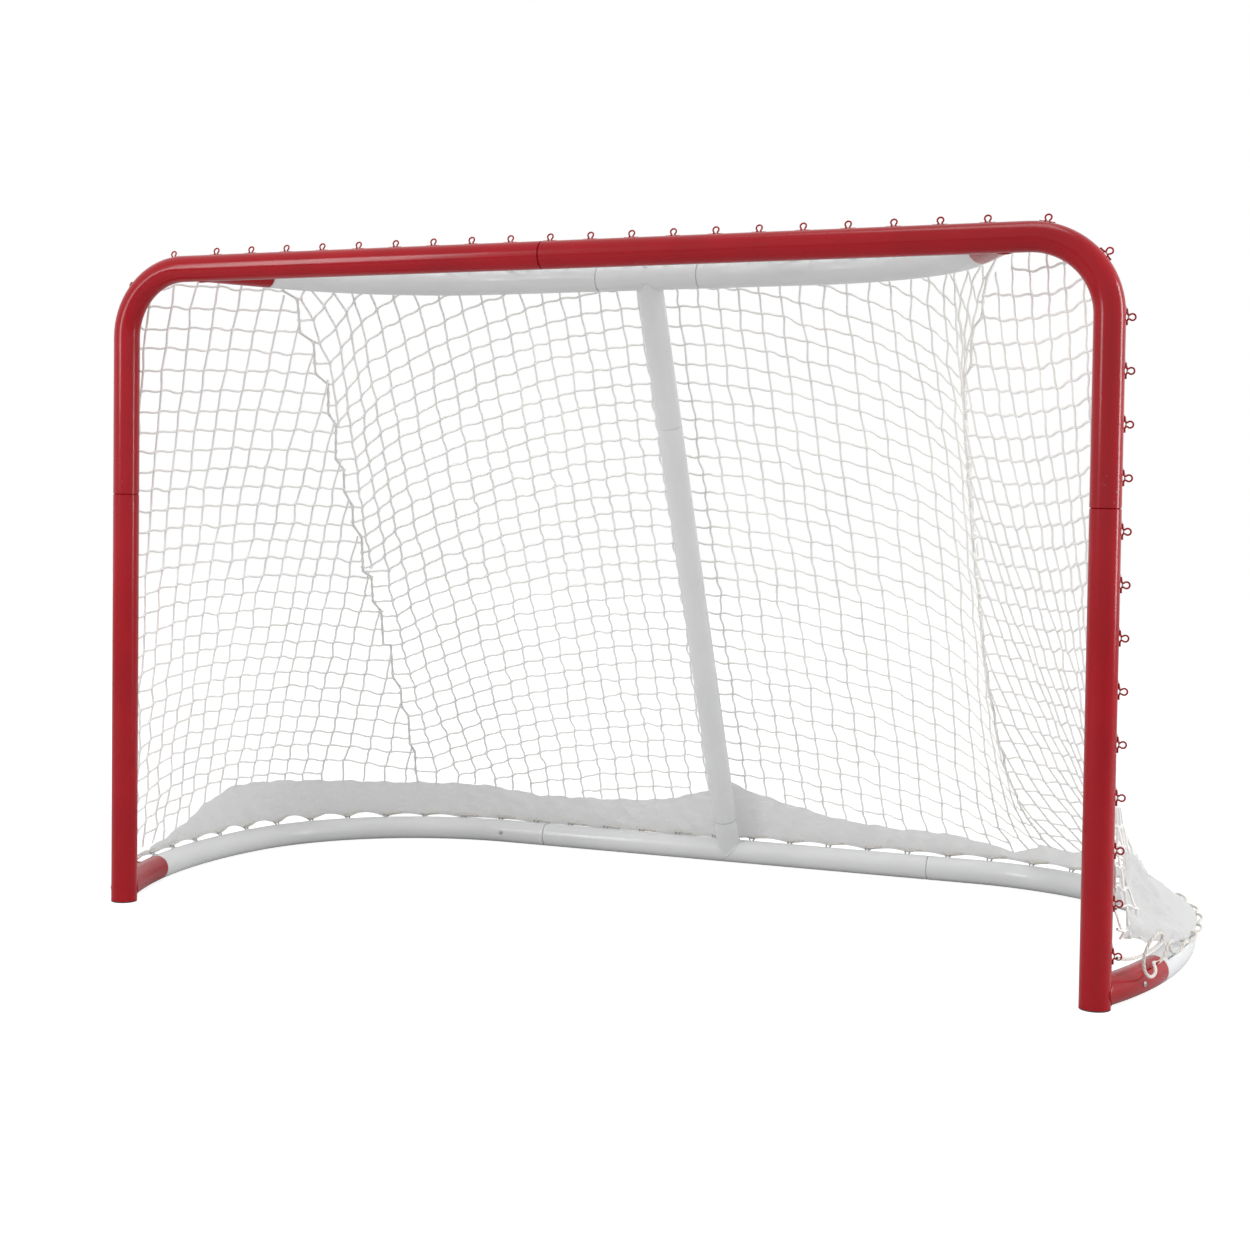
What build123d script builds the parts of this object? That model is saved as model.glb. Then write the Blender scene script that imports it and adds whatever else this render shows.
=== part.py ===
from build123d import *
import math
import os

# A knock-down ice hockey goal: a red front frame, a white base and a white top shelf,
# all of round steel tube, with a centre post behind, wire lacing loops, a net and a skirt.
# Millimetres. +X runs from the left post to the right post as the shooter sees them,
# +Y runs back into the goal, +Z is up. The model is drawn with y = 0 midway between the posts
# and is written with its origin on the floor, in the middle of the space that it covers.

# ---- driving sizes -------------------------------------------------------------------------
opening_width = 1828.8        # between the posts, 72 in
opening_height = 1219.2       # floor to the underside of the crossbar, 48 in
base_depth = 1016.0           # front of the posts to the back of the base tube, 40 in
shelf_depth = 457.2           # front of the crossbar to the back of the shelf tube, 18 in

tube_od = 50.8                # 2 in tube throughout
tube_wall = 2.0
corner_radius = 130.0         # centre line of the two top corners

base_flare = 24.0             # degrees that the base leaves each post outwards
base_side_sweep = 35.0        # degrees that the long side arc turns through
base_corner_radius = 470.0    # centre line of the two back corners

shelf_entry_x = 773.0         # where the shelf meets the crossbar, from the middle
shelf_entry_angle = 25.0      # degrees inwards from straight back
shelf_corner_radius = 400.0

# Where the tubes part, each measured from the middle or from the floor.
crossbar_seam_x = -50.0
post_seam_z = 808.0
base_seam_x = 447.0
shelf_seam_x = 105.0
base_stub_length = 220.0      # along the base, from the post's axis
shelf_stub_length = 158.0     # along the shelf, from the crossbar's axis
socket_length = 84.0          # along the centre post, from the base's axis
upper_post_length = 314.0     # along the centre post, from the shelf's axis

# Slip joints: one tube is drawn down to a neck that slides into the next.
joint_clearance = 0.3         # on the radius
neck_length = 115.0
socket_neck_length = 50.0     # the short neck in the centre post's socket
seam_gap = 0.3                # between the square end and the neck's shoulder
weld_gap = 0.3                # between a saddle-cut end and the tube that it is welded to

# One button-head screw locks each slip joint.
screw_setback = 105.0         # from the seam, inside the square-ended tube
shelf_screw_setback = 60.0    # beside the centre post, not over it
socket_screw_setback = 26.0
screw_head_radius = 4.75
screw_head_height = 2.8
screw_shank_radius = 2.4
screw_length = 11.0
screw_hole_clearance = 0.3    # on the radius
screw_seat_gap = 0.15
screw_hex = 3.0               # across the flats
screw_hex_depth = 1.6

plug_flange = 2.0             # plastic foot plug in each post
plug_depth = 14.0
plug_wall = 2.5

# Lacing loops: an eye of bent wire on two feet, welded along the outside of the tubes.
wire_radius = 1.5
eye_radius = 5.2              # centre line
loop_bend_radius = 3.0
loop_throat_angle = 130.0     # degrees from a foot to where it runs into the eye
loop_foot_span = 26.0
loop_seat_gap = 0.3
frame_loop_lean = 18.0        # degrees behind the frame's outside
base_loop_lean = 45.0         # degrees above the base's outside
post_loop_first = 86.0
post_loop_pitch = 85.5
post_loop_count = 13
corner_loop_count = 2
crossbar_loop_pitch = 78.0
crossbar_loop_count = 10      # each side of the middle
base_loop_first = 163.0       # the one loop on each stub, from the post's axis
base_loop_count = 19          # each side of the middle

# Soft goods, as plain sheets and cords of the size that they hang at.
net_clearance = 0.3           # off the shelf tube that the net lies on
net_thickness = 3.0
net_front = 23.0              # the net starts this far behind the frame's centre line
net_bar = 8.0                 # between the openings that stand for the net's meshes
net_back_openings = 12, 10    # across and up
net_top_openings = 12, 4      # across and front to back
net_side_openings = 9, 10     # along the base and up
net_side_view = 25.0          # degrees behind sideways, from where a side net looks flattest
skirt_bottom = 58.0
skirt_height = 77.0
skirt_thickness = 1.5
seam_x = 700.0                # planes in which the side nets are gathered to the back net
seam_cord_size = 4.5
sheet_gap = 0.3               # between neighbouring soft pieces
lacing_radius = 2.5
lacing_gap = 0.3              # between the lacing and the net's side of each eye
lacing_rise = 1.0             # above the middle of the eyes
lacing_tail = 22.0            # past the first and the last eye

# ---- worked out ----------------------------------------------------------------------------
tube_radius = tube_od / 2
bore_radius = tube_radius - tube_wall
neck_radius = bore_radius - joint_clearance
shoulder = tube_radius - neck_radius
seam_setback = shoulder + seam_gap

post_x = opening_width / 2 + tube_radius
crossbar_z = opening_height + tube_radius
base_z = tube_radius
base_back = base_depth - tube_od
shelf_back = shelf_depth - tube_od


def sine(degrees):
    return math.sin(math.radians(degrees))


def cosine(degrees):
    return math.cos(math.radians(degrees))


# ---- centre lines --------------------------------------------------------------------------
def run(length):
    return (length, 0.0)


def bend(radius, turn):
    """An arc that turns clockwise through turn degrees."""
    return (radius * math.radians(turn), -1.0 / radius)


class Route:
    """A flat centre line of runs and arcs. The outside of the goal lies on its left."""

    def __init__(self, plane, start, heading, pieces):
        self.plane = plane
        self.pieces = []
        x, y, angle, done = start[0], start[1], math.radians(heading), 0.0
        for length, curvature in pieces:
            self.pieces.append((done, length, x, y, angle, curvature))
            x, y, angle = self.step(x, y, angle, curvature, length)
            done += length
        self.length = done

    @staticmethod
    def step(x, y, angle, curvature, distance):
        if curvature == 0:
            return x + distance * math.cos(angle), y + distance * math.sin(angle), angle
        turned = angle + curvature * distance
        x += (math.sin(turned) - math.sin(angle)) / curvature
        y -= (math.cos(turned) - math.cos(angle)) / curvature
        return x, y, turned

    def local(self, distance):
        """x, y and heading at a distance along the route."""
        begin, _, x, y, angle, curvature = self.pieces[0]
        for piece in self.pieces:
            if piece[0] <= distance + 1e-9:
                begin, _, x, y, angle, curvature = piece
        return self.step(x, y, angle, curvature, distance - begin)

    def point(self, distance, out=0.0, up=0.0):
        """A point beside the route: out to its left, up along its plane's normal."""
        x, y, angle = self.local(distance)
        x, y = x - out * math.sin(angle), y + out * math.cos(angle)
        return self.plane.from_local_coords(Vector(x, y, up))

    def tangent(self, distance):
        _, _, angle = self.local(distance)
        return self.plane.x_dir * math.cos(angle) + self.plane.y_dir * math.sin(angle)

    def side(self, distance, lean):
        """The direction lean degrees from the outside towards the plane's normal."""
        _, _, angle = self.local(distance)
        left = self.plane.y_dir * math.cos(angle) - self.plane.x_dir * math.sin(angle)
        return left * cosine(lean) + self.plane.z_dir * sine(lean)

    def seat(self, distance, lean, height):
        """A plane standing on the tube: x along the tube, z away from its centre line."""
        away = self.side(distance, lean)
        origin = self.point(distance) + away * height
        return Plane(origin=origin, x_dir=self.tangent(distance), z_dir=away)

    def edges(self, start, end, out=0.0, up=0.0):
        found = []
        for begin, length, _, _, _, curvature in self.pieces:
            a, b = max(start, begin), min(end, begin + length)
            if b - a < 1e-6:
                continue
            ends = self.point(a, out, up), self.point(b - 1e-9, out, up)
            if curvature == 0:
                found.append(Edge.make_line(*ends))
            else:
                middle = self.point((a + b) / 2, out, up)
                found.append(Edge.make_three_point_arc(ends[0], middle, ends[1]))
        return found

    def wire(self, start, end, out=0.0, up=0.0):
        return Wire(self.edges(start, end, out, up))


def mirrored(half):
    """The pieces of a symmetric route, from the pieces of its first half."""
    return half + half[::-1]


frame_bend = bend(corner_radius, 90)
frame = Route(
    Plane.XZ, (-post_x, 0), 90,
    mirrored([run(crossbar_z - corner_radius), frame_bend, run(post_x - corner_radius)]))

base_turn_left = 90 + base_flare - base_side_sweep
side_sine = sine(base_flare) - sine(base_flare - base_side_sweep)
corner_reach = base_corner_radius * (1 + sine(base_flare - base_side_sweep))
base_side_radius = (base_back - corner_reach) / side_sine
base_side = bend(base_side_radius, base_side_sweep)
base_corner = bend(base_corner_radius, base_turn_left)
base_half_x = (
    post_x
    + base_side_radius * (cosine(base_flare - base_side_sweep) - cosine(base_flare))
    - base_corner_radius * cosine(base_flare - base_side_sweep))
base = Route(
    Plane.XY.offset(base_z), (-post_x, 0), 90 + base_flare,
    mirrored([base_side, base_corner, run(base_half_x)]))

shelf_run = (shelf_back - shelf_corner_radius * (1 - sine(shelf_entry_angle))) / cosine(
    shelf_entry_angle)
shelf_corner = bend(shelf_corner_radius, 90 - shelf_entry_angle)
shelf_half_x = (
    shelf_entry_x - shelf_run * sine(shelf_entry_angle)
    - shelf_corner_radius * cosine(shelf_entry_angle))
shelf = Route(
    Plane.XY.offset(crossbar_z), (-shelf_entry_x, 0), 90 - shelf_entry_angle,
    mirrored([run(shelf_run), shelf_corner, run(shelf_half_x)]))

centre_rise = crossbar_z - base_z
centre_lean = base_back - shelf_back
centre = Route(
    Plane.YZ, (base_back, base_z), math.degrees(math.atan2(centre_rise, -centre_lean)),
    [run(math.hypot(centre_rise, centre_lean))])

# Distances along the routes at which the tubes part.
crossbar_seam = frame.length / 2 + crossbar_seam_x
left_post_seam, right_post_seam = post_seam_z, frame.length - post_seam_z
base_middle, shelf_middle = base.length / 2, shelf.length / 2
left_base_seam, right_base_seam = base_middle - base_seam_x, base_middle + base_seam_x
left_shelf_seam, right_shelf_seam = shelf_middle - shelf_seam_x, shelf_middle + shelf_seam_x
left_stub_seam, right_stub_seam = base_stub_length, base.length - base_stub_length
left_shelf_stub_seam = shelf_stub_length
right_shelf_stub_seam = shelf.length - shelf_stub_length
upper_post_seam = centre.length - upper_post_length


# ---- tubes ---------------------------------------------------------------------------------
def disc(route, distance, radius):
    return Plane(origin=route.point(distance), z_dir=route.tangent(distance)) * Circle(radius)


def rod(route, start, end, radius):
    return sweep(disc(route, start, radius), path=route.wire(start, end))


def ring(route, start, end, outer, inner):
    section = disc(route, start, outer) - disc(route, start, inner)
    return sweep(section, path=route.wire(start, end))


def neck(route, body_end, direction, length):
    """The tapered shoulder and the drawn-down neck beyond the full-size body."""
    neck_start = body_end + direction * shoulder
    neck_end = neck_start + direction * length
    taper = loft([disc(route, body_end, tube_radius), disc(route, neck_start, neck_radius)])
    hollow = loft([
        disc(route, body_end, bore_radius), disc(route, neck_start, neck_radius - tube_wall)])
    start, end = sorted((neck_start, neck_end))
    return taper - hollow + ring(route, start, end, neck_radius, neck_radius - tube_wall)


def tube(route, start, end, neck_at_start=0.0, neck_at_end=0.0):
    """A hollow tube with square ends, or with a neck of the given length beyond an end."""
    if neck_at_start:
        start += seam_setback
    if neck_at_end:
        end -= seam_setback
    body = ring(route, start, end, tube_radius, bore_radius)
    if neck_at_start:
        body += neck(route, start, -1, neck_at_start)
    if neck_at_end:
        body += neck(route, end, 1, neck_at_end)
    return body


parts = {}

# Front frame: two corner tubes above, two posts below that slide up into them.
parts["left_corner_tube"] = tube(frame, left_post_seam, crossbar_seam)
parts["right_corner_tube"] = tube(
    frame, crossbar_seam, right_post_seam, neck_at_start=neck_length)
parts["left_lower_post"] = tube(frame, plug_flange, left_post_seam, neck_at_end=neck_length)
parts["right_lower_post"] = tube(
    frame, right_post_seam, frame.length - plug_flange, neck_at_start=neck_length)

# Red stubs, saddle-cut and welded to the posts and to the crossbar.
post_space = Cylinder(tube_radius + weld_gap, 2 * post_seam_z)
crossbar_space = rod(
    frame, crossbar_z, frame.length - crossbar_z, tube_radius + weld_gap)
parts["left_base_stub"] = tube(base, 0, left_stub_seam) - Pos(-post_x, 0, 0) * post_space
parts["right_base_stub"] = tube(base, right_stub_seam, base.length) - Pos(post_x, 0, 0) * post_space
parts["left_shelf_stub"] = tube(shelf, 0, left_shelf_stub_seam) - crossbar_space
parts["right_shelf_stub"] = (
    tube(shelf, right_shelf_stub_seam, shelf.length) - crossbar_space)

# White base and white shelf, each of three tubes that slide into one another left to right.
parts["base_left_tube"] = tube(base, left_stub_seam, left_base_seam, neck_at_start=neck_length)
parts["base_centre_tube"] = tube(
    base, left_base_seam, right_base_seam, neck_at_start=neck_length)
parts["base_right_tube"] = tube(
    base, right_base_seam, right_stub_seam, neck_at_start=neck_length, neck_at_end=neck_length)
parts["shelf_left_tube"] = tube(
    shelf, left_shelf_stub_seam, left_shelf_seam, neck_at_start=neck_length)
parts["shelf_centre_tube"] = tube(
    shelf, left_shelf_seam, right_shelf_seam, neck_at_start=neck_length)
parts["shelf_right_tube"] = tube(
    shelf, right_shelf_seam, right_shelf_stub_seam,
    neck_at_start=neck_length, neck_at_end=neck_length)

# Leaning centre post: a socket on the base, a long tube, and a short tube under the shelf.
base_space = rod(base, left_base_seam, right_base_seam, tube_radius + weld_gap)
shelf_space = rod(shelf, left_shelf_seam, right_shelf_seam, tube_radius + weld_gap)
parts["centre_post_socket"] = tube(centre, 0, socket_length) - base_space
parts["centre_post_tube"] = tube(
    centre, socket_length, upper_post_seam,
    neck_at_start=socket_neck_length, neck_at_end=neck_length)
parts["centre_post_upper"] = tube(centre, upper_post_seam, centre.length) - shelf_space


# ---- foot plugs ----------------------------------------------------------------------------
def foot_plug():
    flange = Pos(0, 0, plug_flange / 2) * Cylinder(tube_radius, plug_flange)
    flange = chamfer(flange.edges().group_by(Axis.Z)[0], plug_flange / 4)
    cup_middle = plug_flange + plug_depth / 2
    cup = Pos(0, 0, cup_middle) * (
        Cylinder(neck_radius, plug_depth) - Cylinder(neck_radius - plug_wall, plug_depth))
    return flange + cup


parts["left_foot_plug"] = Pos(-post_x, 0, 0) * foot_plug()
parts["right_foot_plug"] = Pos(post_x, 0, 0) * foot_plug()


# ---- joint screws --------------------------------------------------------------------------
def joint_screw():
    head = Pos(0, 0, screw_head_height / 2) * Cylinder(screw_head_radius, screw_head_height)
    head = fillet(head.edges().group_by(Axis.Z)[-1], screw_head_height * 0.7)
    recess = extrude(
        RegularPolygon(screw_hex / 2, 6, major_radius=False), screw_hex_depth)
    shank = Pos(0, 0, -screw_length / 2) * Cylinder(screw_shank_radius, screw_length)
    return head - Pos(0, 0, screw_head_height - screw_hex_depth) * recess + shank


# Route, distance, side of the tube, square-ended tube, necked tube.
FRONT, OUTSIDE, BEHIND_FRAME, BEHIND_CENTRE = 180, 0, -90, 180
screw_places = [
    (frame, crossbar_seam - screw_setback, BEHIND_FRAME, "left_corner_tube", "right_corner_tube"),
    (frame, left_post_seam + screw_setback, BEHIND_FRAME, "left_corner_tube", "left_lower_post"),
    (frame, right_post_seam - screw_setback, BEHIND_FRAME,
     "right_corner_tube", "right_lower_post"),
    (base, left_stub_seam - screw_setback, OUTSIDE, "left_base_stub", "base_left_tube"),
    (base, left_base_seam - screw_setback, FRONT, "base_left_tube", "base_centre_tube"),
    (base, right_base_seam - screw_setback, OUTSIDE, "base_centre_tube", "base_right_tube"),
    (base, right_stub_seam + screw_setback, OUTSIDE, "right_base_stub", "base_right_tube"),
    (shelf, left_shelf_stub_seam - screw_setback, OUTSIDE, "left_shelf_stub", "shelf_left_tube"),
    (shelf, left_shelf_seam - shelf_screw_setback, OUTSIDE,
     "shelf_left_tube", "shelf_centre_tube"),
    (shelf, right_shelf_seam - shelf_screw_setback, OUTSIDE,
     "shelf_centre_tube", "shelf_right_tube"),
    (shelf, right_shelf_stub_seam + screw_setback, OUTSIDE,
     "right_shelf_stub", "shelf_right_tube"),
    (centre, socket_length - socket_screw_setback, BEHIND_CENTRE,
     "centre_post_socket", "centre_post_tube"),
    (centre, upper_post_seam + screw_setback, BEHIND_CENTRE,
     "centre_post_upper", "centre_post_tube"),
]
screw = joint_screw()
hole = Cylinder(screw_shank_radius + screw_hole_clearance, 2 * screw_length)
screws = []
for route, distance, side, square_tube, necked_tube in screw_places:
    seat = route.seat(distance, side, tube_radius + screw_seat_gap).location
    screws.append(seat * screw)
    parts[square_tube] -= seat * hole
    parts[necked_tube] -= seat * hole
parts["joint_screws"] = Compound(children=screws)


# ---- lacing loops --------------------------------------------------------------------------
throat_x = (loop_bend_radius + eye_radius) * sine(loop_throat_angle)
eye_height = loop_bend_radius * (1 - cosine(loop_throat_angle)) - (
    eye_radius * cosine(loop_throat_angle))


def lacing_loop():
    """Wire from foot to eye to foot, standing in XZ with its feet's centre line on X."""
    half_turn = loop_throat_angle / 2
    bend_middle = loop_bend_radius * sine(half_turn), loop_bend_radius * (1 - cosine(half_turn))
    bend_end = (
        loop_bend_radius * sine(loop_throat_angle),
        loop_bend_radius * (1 - cosine(loop_throat_angle)))
    foot_end, foot_root = -loop_foot_span / 2, -throat_x
    left = [
        Edge.make_line((foot_end, 0, 0), (foot_root, 0, 0)),
        Edge.make_three_point_arc(
            (foot_root, 0, 0),
            (foot_root + bend_middle[0], 0, bend_middle[1]),
            (foot_root + bend_end[0], 0, bend_end[1])),
    ]
    eye = Edge.make_three_point_arc(
        (foot_root + bend_end[0], 0, bend_end[1]),
        (0, 0, eye_height + eye_radius),
        (-foot_root - bend_end[0], 0, bend_end[1]))
    right = [edge.mirror(Plane.YZ) for edge in left]
    path = Wire(left + [eye] + right)
    return sweep(Plane(origin=(foot_end, 0, 0), z_dir=(1, 0, 0)) * Circle(wire_radius), path=path)


loop = lacing_loop()
loop_seat = tube_radius + loop_seat_gap + wire_radius


def loops(route, distances, lean):
    return Compound(
        children=[route.seat(at, lean, loop_seat).location * loop for at in distances])


def both_sides(route, distances):
    return sorted(distances + [route.length - at for at in distances])


def between(distances, start, end):
    return [at for at in distances if start < at < end]


post_loops = [post_loop_first + post_loop_pitch * i for i in range(post_loop_count)]
crossbar_loops = [
    frame.length / 2 - crossbar_loop_pitch * (i + 0.5) for i in range(crossbar_loop_count)]
corner_gap = (crossbar_loops[-1] - post_loops[-1]) / (corner_loop_count + 1)
corner_loops = [post_loops[-1] + corner_gap * (i + 1) for i in range(corner_loop_count)]
frame_loops = both_sides(frame, post_loops + corner_loops + crossbar_loops)
base_loop_pitch = (base_middle - base_loop_first) / (base_loop_count - 0.5)
base_loops = both_sides(
    base, [base_loop_first + base_loop_pitch * i for i in range(base_loop_count)])

for name, start, end in [
        ("left_post_loops", 0, left_post_seam),
        ("left_corner_loops", left_post_seam, crossbar_seam),
        ("right_corner_loops", crossbar_seam, right_post_seam),
        ("right_post_loops", right_post_seam, frame.length)]:
    parts[name] = loops(frame, between(frame_loops, start, end), -frame_loop_lean)

for name, start, end in [
        ("left_stub_loops", 0, left_stub_seam),
        ("base_left_loops", left_stub_seam, left_base_seam),
        ("base_centre_loops", left_base_seam, right_base_seam),
        ("base_right_loops", right_base_seam, right_stub_seam),
        ("right_stub_loops", right_stub_seam, base.length)]:
    parts[name] = loops(base, between(base_loops, start, end), base_loop_lean)


# ---- lacing --------------------------------------------------------------------------------
def lacing(route, distances, lean, net_side):
    """The net's edge cord, which lies along the net's side of a row of eyes."""
    height = loop_seat + eye_height + lacing_rise
    aside = net_side * (wire_radius + lacing_gap + lacing_radius)
    path = route.wire(
        distances[0] - lacing_tail, distances[-1] + lacing_tail,
        out=height * cosine(lean) - aside * sine(lean),
        up=height * sine(lean) + aside * cosine(lean))
    return sweep(Plane(origin=path @ 0, z_dir=path % 0) * Circle(lacing_radius), path=path)


parts["frame_lacing"] = lacing(frame, frame_loops, -frame_loop_lean, net_side=-1)
parts["base_lacing"] = lacing(base, base_loops, base_loop_lean, net_side=1)


# ---- net and skirt -------------------------------------------------------------------------
# The net leaves each post straight for the shelf's corner, meets it on a tangent and goes round.
corner_span_x = post_x - shelf_half_x
corner_span_y = shelf_back - shelf_corner_radius
corner_span = math.hypot(corner_span_x, corner_span_y)
rim_heading = math.degrees(
    math.atan2(corner_span_y, corner_span_x) + math.asin(shelf_corner_radius / corner_span))
rim_run = math.sqrt(corner_span ** 2 - shelf_corner_radius ** 2)
rim = Route(
    Plane.XY.offset(crossbar_z), (-post_x, 0), rim_heading,
    mirrored([run(rim_run), bend(shelf_corner_radius, rim_heading), run(shelf_half_x)]))
far = 2 * post_x              # past everything, for cutting spaces


def space(x=(-far, far), y=(-far, far), z=(0, far)):
    """A box between two limits each way."""
    limits = (x, y, z)
    size = [high - low for low, high in limits]
    middle = [(high + low) / 2 for low, high in limits]
    return Pos(*middle) * Box(*size)


def closed(edges):
    return edges + [Edge.make_line(edges[-1] @ 1, edges[0] @ 0)]


def envelope(reach):
    """The space inside a skin that lies reach outside the tubes' centre lines."""
    bottom = closed(base.edges(0, base.length, out=reach, up=skirt_bottom - base_z))
    top = closed(rim.edges(0, rim.length, out=reach, up=reach))
    walls = [Face.make_surface_from_curves(low, high) for low, high in zip(bottom, top)]
    filled = Solid(Shell(walls + [make_face(bottom).face(), make_face(top).face()]))
    corner_x, corner_z = post_x - corner_radius, crossbar_z - corner_radius
    drum = Pos(corner_x, 0, corner_z) * Rot(90, 0, 0) * Cylinder(corner_radius + reach, 2 * far)
    right_half = filled & space(x=(0, far))
    right_half -= space(x=(corner_x, far), z=(corner_z, far)) - drum
    return right_half + mirror(right_half, about=Plane.YZ)


skin_reach = tube_radius + net_clearance
inside = envelope(skin_reach)
net_wall = envelope(skin_reach + net_thickness) - inside
skirt_wall = envelope(skin_reach + skirt_thickness) - inside
seam_wall = envelope(skin_reach + seam_cord_size) - inside

skirt_top = skirt_bottom + skirt_height
net_bottom = skirt_top + sheet_gap
fold_z = crossbar_z + skin_reach - net_clearance
seam_inner = seam_x - seam_cord_size / 2
seam_outer = seam_x + seam_cord_size / 2
middle_span = (-seam_inner + sheet_gap, seam_inner - sheet_gap)
left_span = (-far, -seam_outer - sheet_gap)
right_span = (seam_outer + sheet_gap, far)


def panel(wall, x, z):
    """The part of a wall between two sides and two heights, behind the net's front edge."""
    return wall & space(x=x, y=(net_front, far), z=z)


def grid(count, low, high):
    """Blocks in rows and columns between two corners in XY, with a bar round each of them."""
    (columns, rows), (left, front), (right, back) = count, low, high
    pitch_x, pitch_y = (right - left - net_bar) / columns, (back - front - net_bar) / rows
    block = Box(pitch_x - net_bar, pitch_y - net_bar, 2 * far)
    return [
        Pos(left + (net_bar + pitch_x * (2 * i + 1)) / 2, front + (net_bar + pitch_y * (2 * j + 1)) / 2)
        * block for i in range(columns) for j in range(rows)]


def opened(sheet, view, blocks, limits):
    """A sheet with openings through it along a plane's normal, no further than the limits."""
    cuts = [view * block & limits for block in blocks]
    return sheet - Compound(children=[solid for cut in cuts if cut for solid in cut.solids()])


# Each panel has a plain grid of openings inside its edges, seen from above, behind or beside it.
net_top_z = fold_z - sheet_gap
rim_inside = extrude(
    make_face(closed(rim.edges(0, rim.length, out=skin_reach - net_bar))), far, both=True)
side_across = Vector(-sine(net_side_view), cosine(net_side_view))
side_view = Plane(
    origin=(0, 0, 0), x_dir=side_across, z_dir=(cosine(net_side_view), sine(net_side_view), 0))
side_start = Vector(post_x, net_front).dot(side_across)
side_end = Vector(seam_x, base_back).dot(side_across)
side_inside = space(x=(seam_outer + sheet_gap + net_bar, far), y=(net_front + net_bar, far))

parts["net_top"] = opened(
    panel(net_wall, middle_span, (fold_z, far)), Plane.XY,
    grid(net_top_openings, (middle_span[0], net_front), (middle_span[1], shelf_back)), rim_inside)
parts["net_back"] = opened(
    panel(net_wall, middle_span, (net_bottom, net_top_z)), Plane.XZ,
    grid(net_back_openings, (middle_span[0], net_bottom), (middle_span[1], net_top_z)),
    space(x=middle_span))
parts["net_right"] = opened(
    panel(net_wall, right_span, (net_bottom, far)), side_view,
    grid(net_side_openings, (side_start, net_bottom), (side_end, net_top_z)), side_inside)
parts["net_left"] = mirror(parts["net_right"], about=Plane.YZ)
parts["seam_cord_left"] = panel(seam_wall, (-seam_outer, -seam_inner), (net_bottom, far))
parts["seam_cord_right"] = panel(seam_wall, (seam_inner, seam_outer), (net_bottom, far))
parts["skirt_left"] = panel(skirt_wall, left_span, (0, skirt_top))
parts["skirt_back"] = panel(skirt_wall, (-seam_outer, seam_outer), (0, skirt_top))
parts["skirt_right"] = panel(skirt_wall, right_span, (0, skirt_top))

# ---- write ---------------------------------------------------------------------------------
boxes = [shape.bounding_box() for shape in parts.values()]
middle_y = (min(box.min.Y for box in boxes) + max(box.max.Y for box in boxes)) / 2
os.makedirs("parts", exist_ok=True)
for name, shape in parts.items():
    export_step(Pos(0, -middle_y, 0) * shape, f"parts/{name}.step")
print(len(parts), "nodes, the posts stand at y =", round(-middle_y, 2))
print("base side radius", round(base_side_radius, 1), "half straight", round(base_half_x, 1))
print("centre post length", round(centre.length, 1))
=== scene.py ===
# %% [markdown]
# # An ice hockey goal
# A red tube frame with a white base, a white top shelf and a leaning centre post. The packed
# model already holds every tube, loop and screw at its true size, so this file adds paint, and
# rebuilds the soft parts as the knotted and sewn things they are.

# %% Load the frame
import math

import bpy
import numpy as np
from mathutils import Matrix, Vector


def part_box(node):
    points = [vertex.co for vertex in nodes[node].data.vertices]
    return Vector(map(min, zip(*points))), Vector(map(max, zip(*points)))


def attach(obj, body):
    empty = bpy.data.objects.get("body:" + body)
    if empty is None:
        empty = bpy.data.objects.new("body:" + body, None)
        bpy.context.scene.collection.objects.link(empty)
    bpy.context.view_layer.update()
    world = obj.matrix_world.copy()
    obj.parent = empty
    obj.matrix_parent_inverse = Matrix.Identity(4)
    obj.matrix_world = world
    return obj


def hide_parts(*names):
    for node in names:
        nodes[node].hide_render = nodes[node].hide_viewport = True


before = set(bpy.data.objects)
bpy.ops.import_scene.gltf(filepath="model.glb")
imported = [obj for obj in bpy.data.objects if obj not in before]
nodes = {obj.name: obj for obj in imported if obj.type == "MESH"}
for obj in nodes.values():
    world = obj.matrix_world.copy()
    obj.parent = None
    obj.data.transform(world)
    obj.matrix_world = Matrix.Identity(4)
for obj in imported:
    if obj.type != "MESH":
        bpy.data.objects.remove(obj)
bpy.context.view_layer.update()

# %% [markdown]
# ## Where the tubes are
# Everything soft hangs on the tubes, so their places come first. They could be typed in, but
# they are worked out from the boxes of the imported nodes, so that the net follows the frame.

# %% Where the tubes are
tube_radius = 0.0254
post_low, post_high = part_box("right_lower_post")
post_x = (post_low.x + post_high.x) / 2
post_y = (post_low.y + post_high.y) / 2
crossbar_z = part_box("right_corner_tube")[1].z - tube_radius
base_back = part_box("base_centre_tube")[1].y - tube_radius - post_y
shelf_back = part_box("shelf_centre_tube")[1].y - tube_radius - post_y
print("posts at x", round(post_x, 4), "crossbar axis at z", round(crossbar_z, 4))
print("base reaches back", round(base_back, 4), "shelf", round(shelf_back, 4))

# %% [markdown]
# ## Camera
# A camera is placed by its position and by the direction in which it looks. Here both are
# turned into one matrix: the three axes of the camera are its columns.


# %% Camera
def placed(name, data):
    """A new object in the scene."""
    thing = bpy.data.objects.new(name, data)
    bpy.context.scene.collection.objects.link(thing)
    return thing


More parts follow.
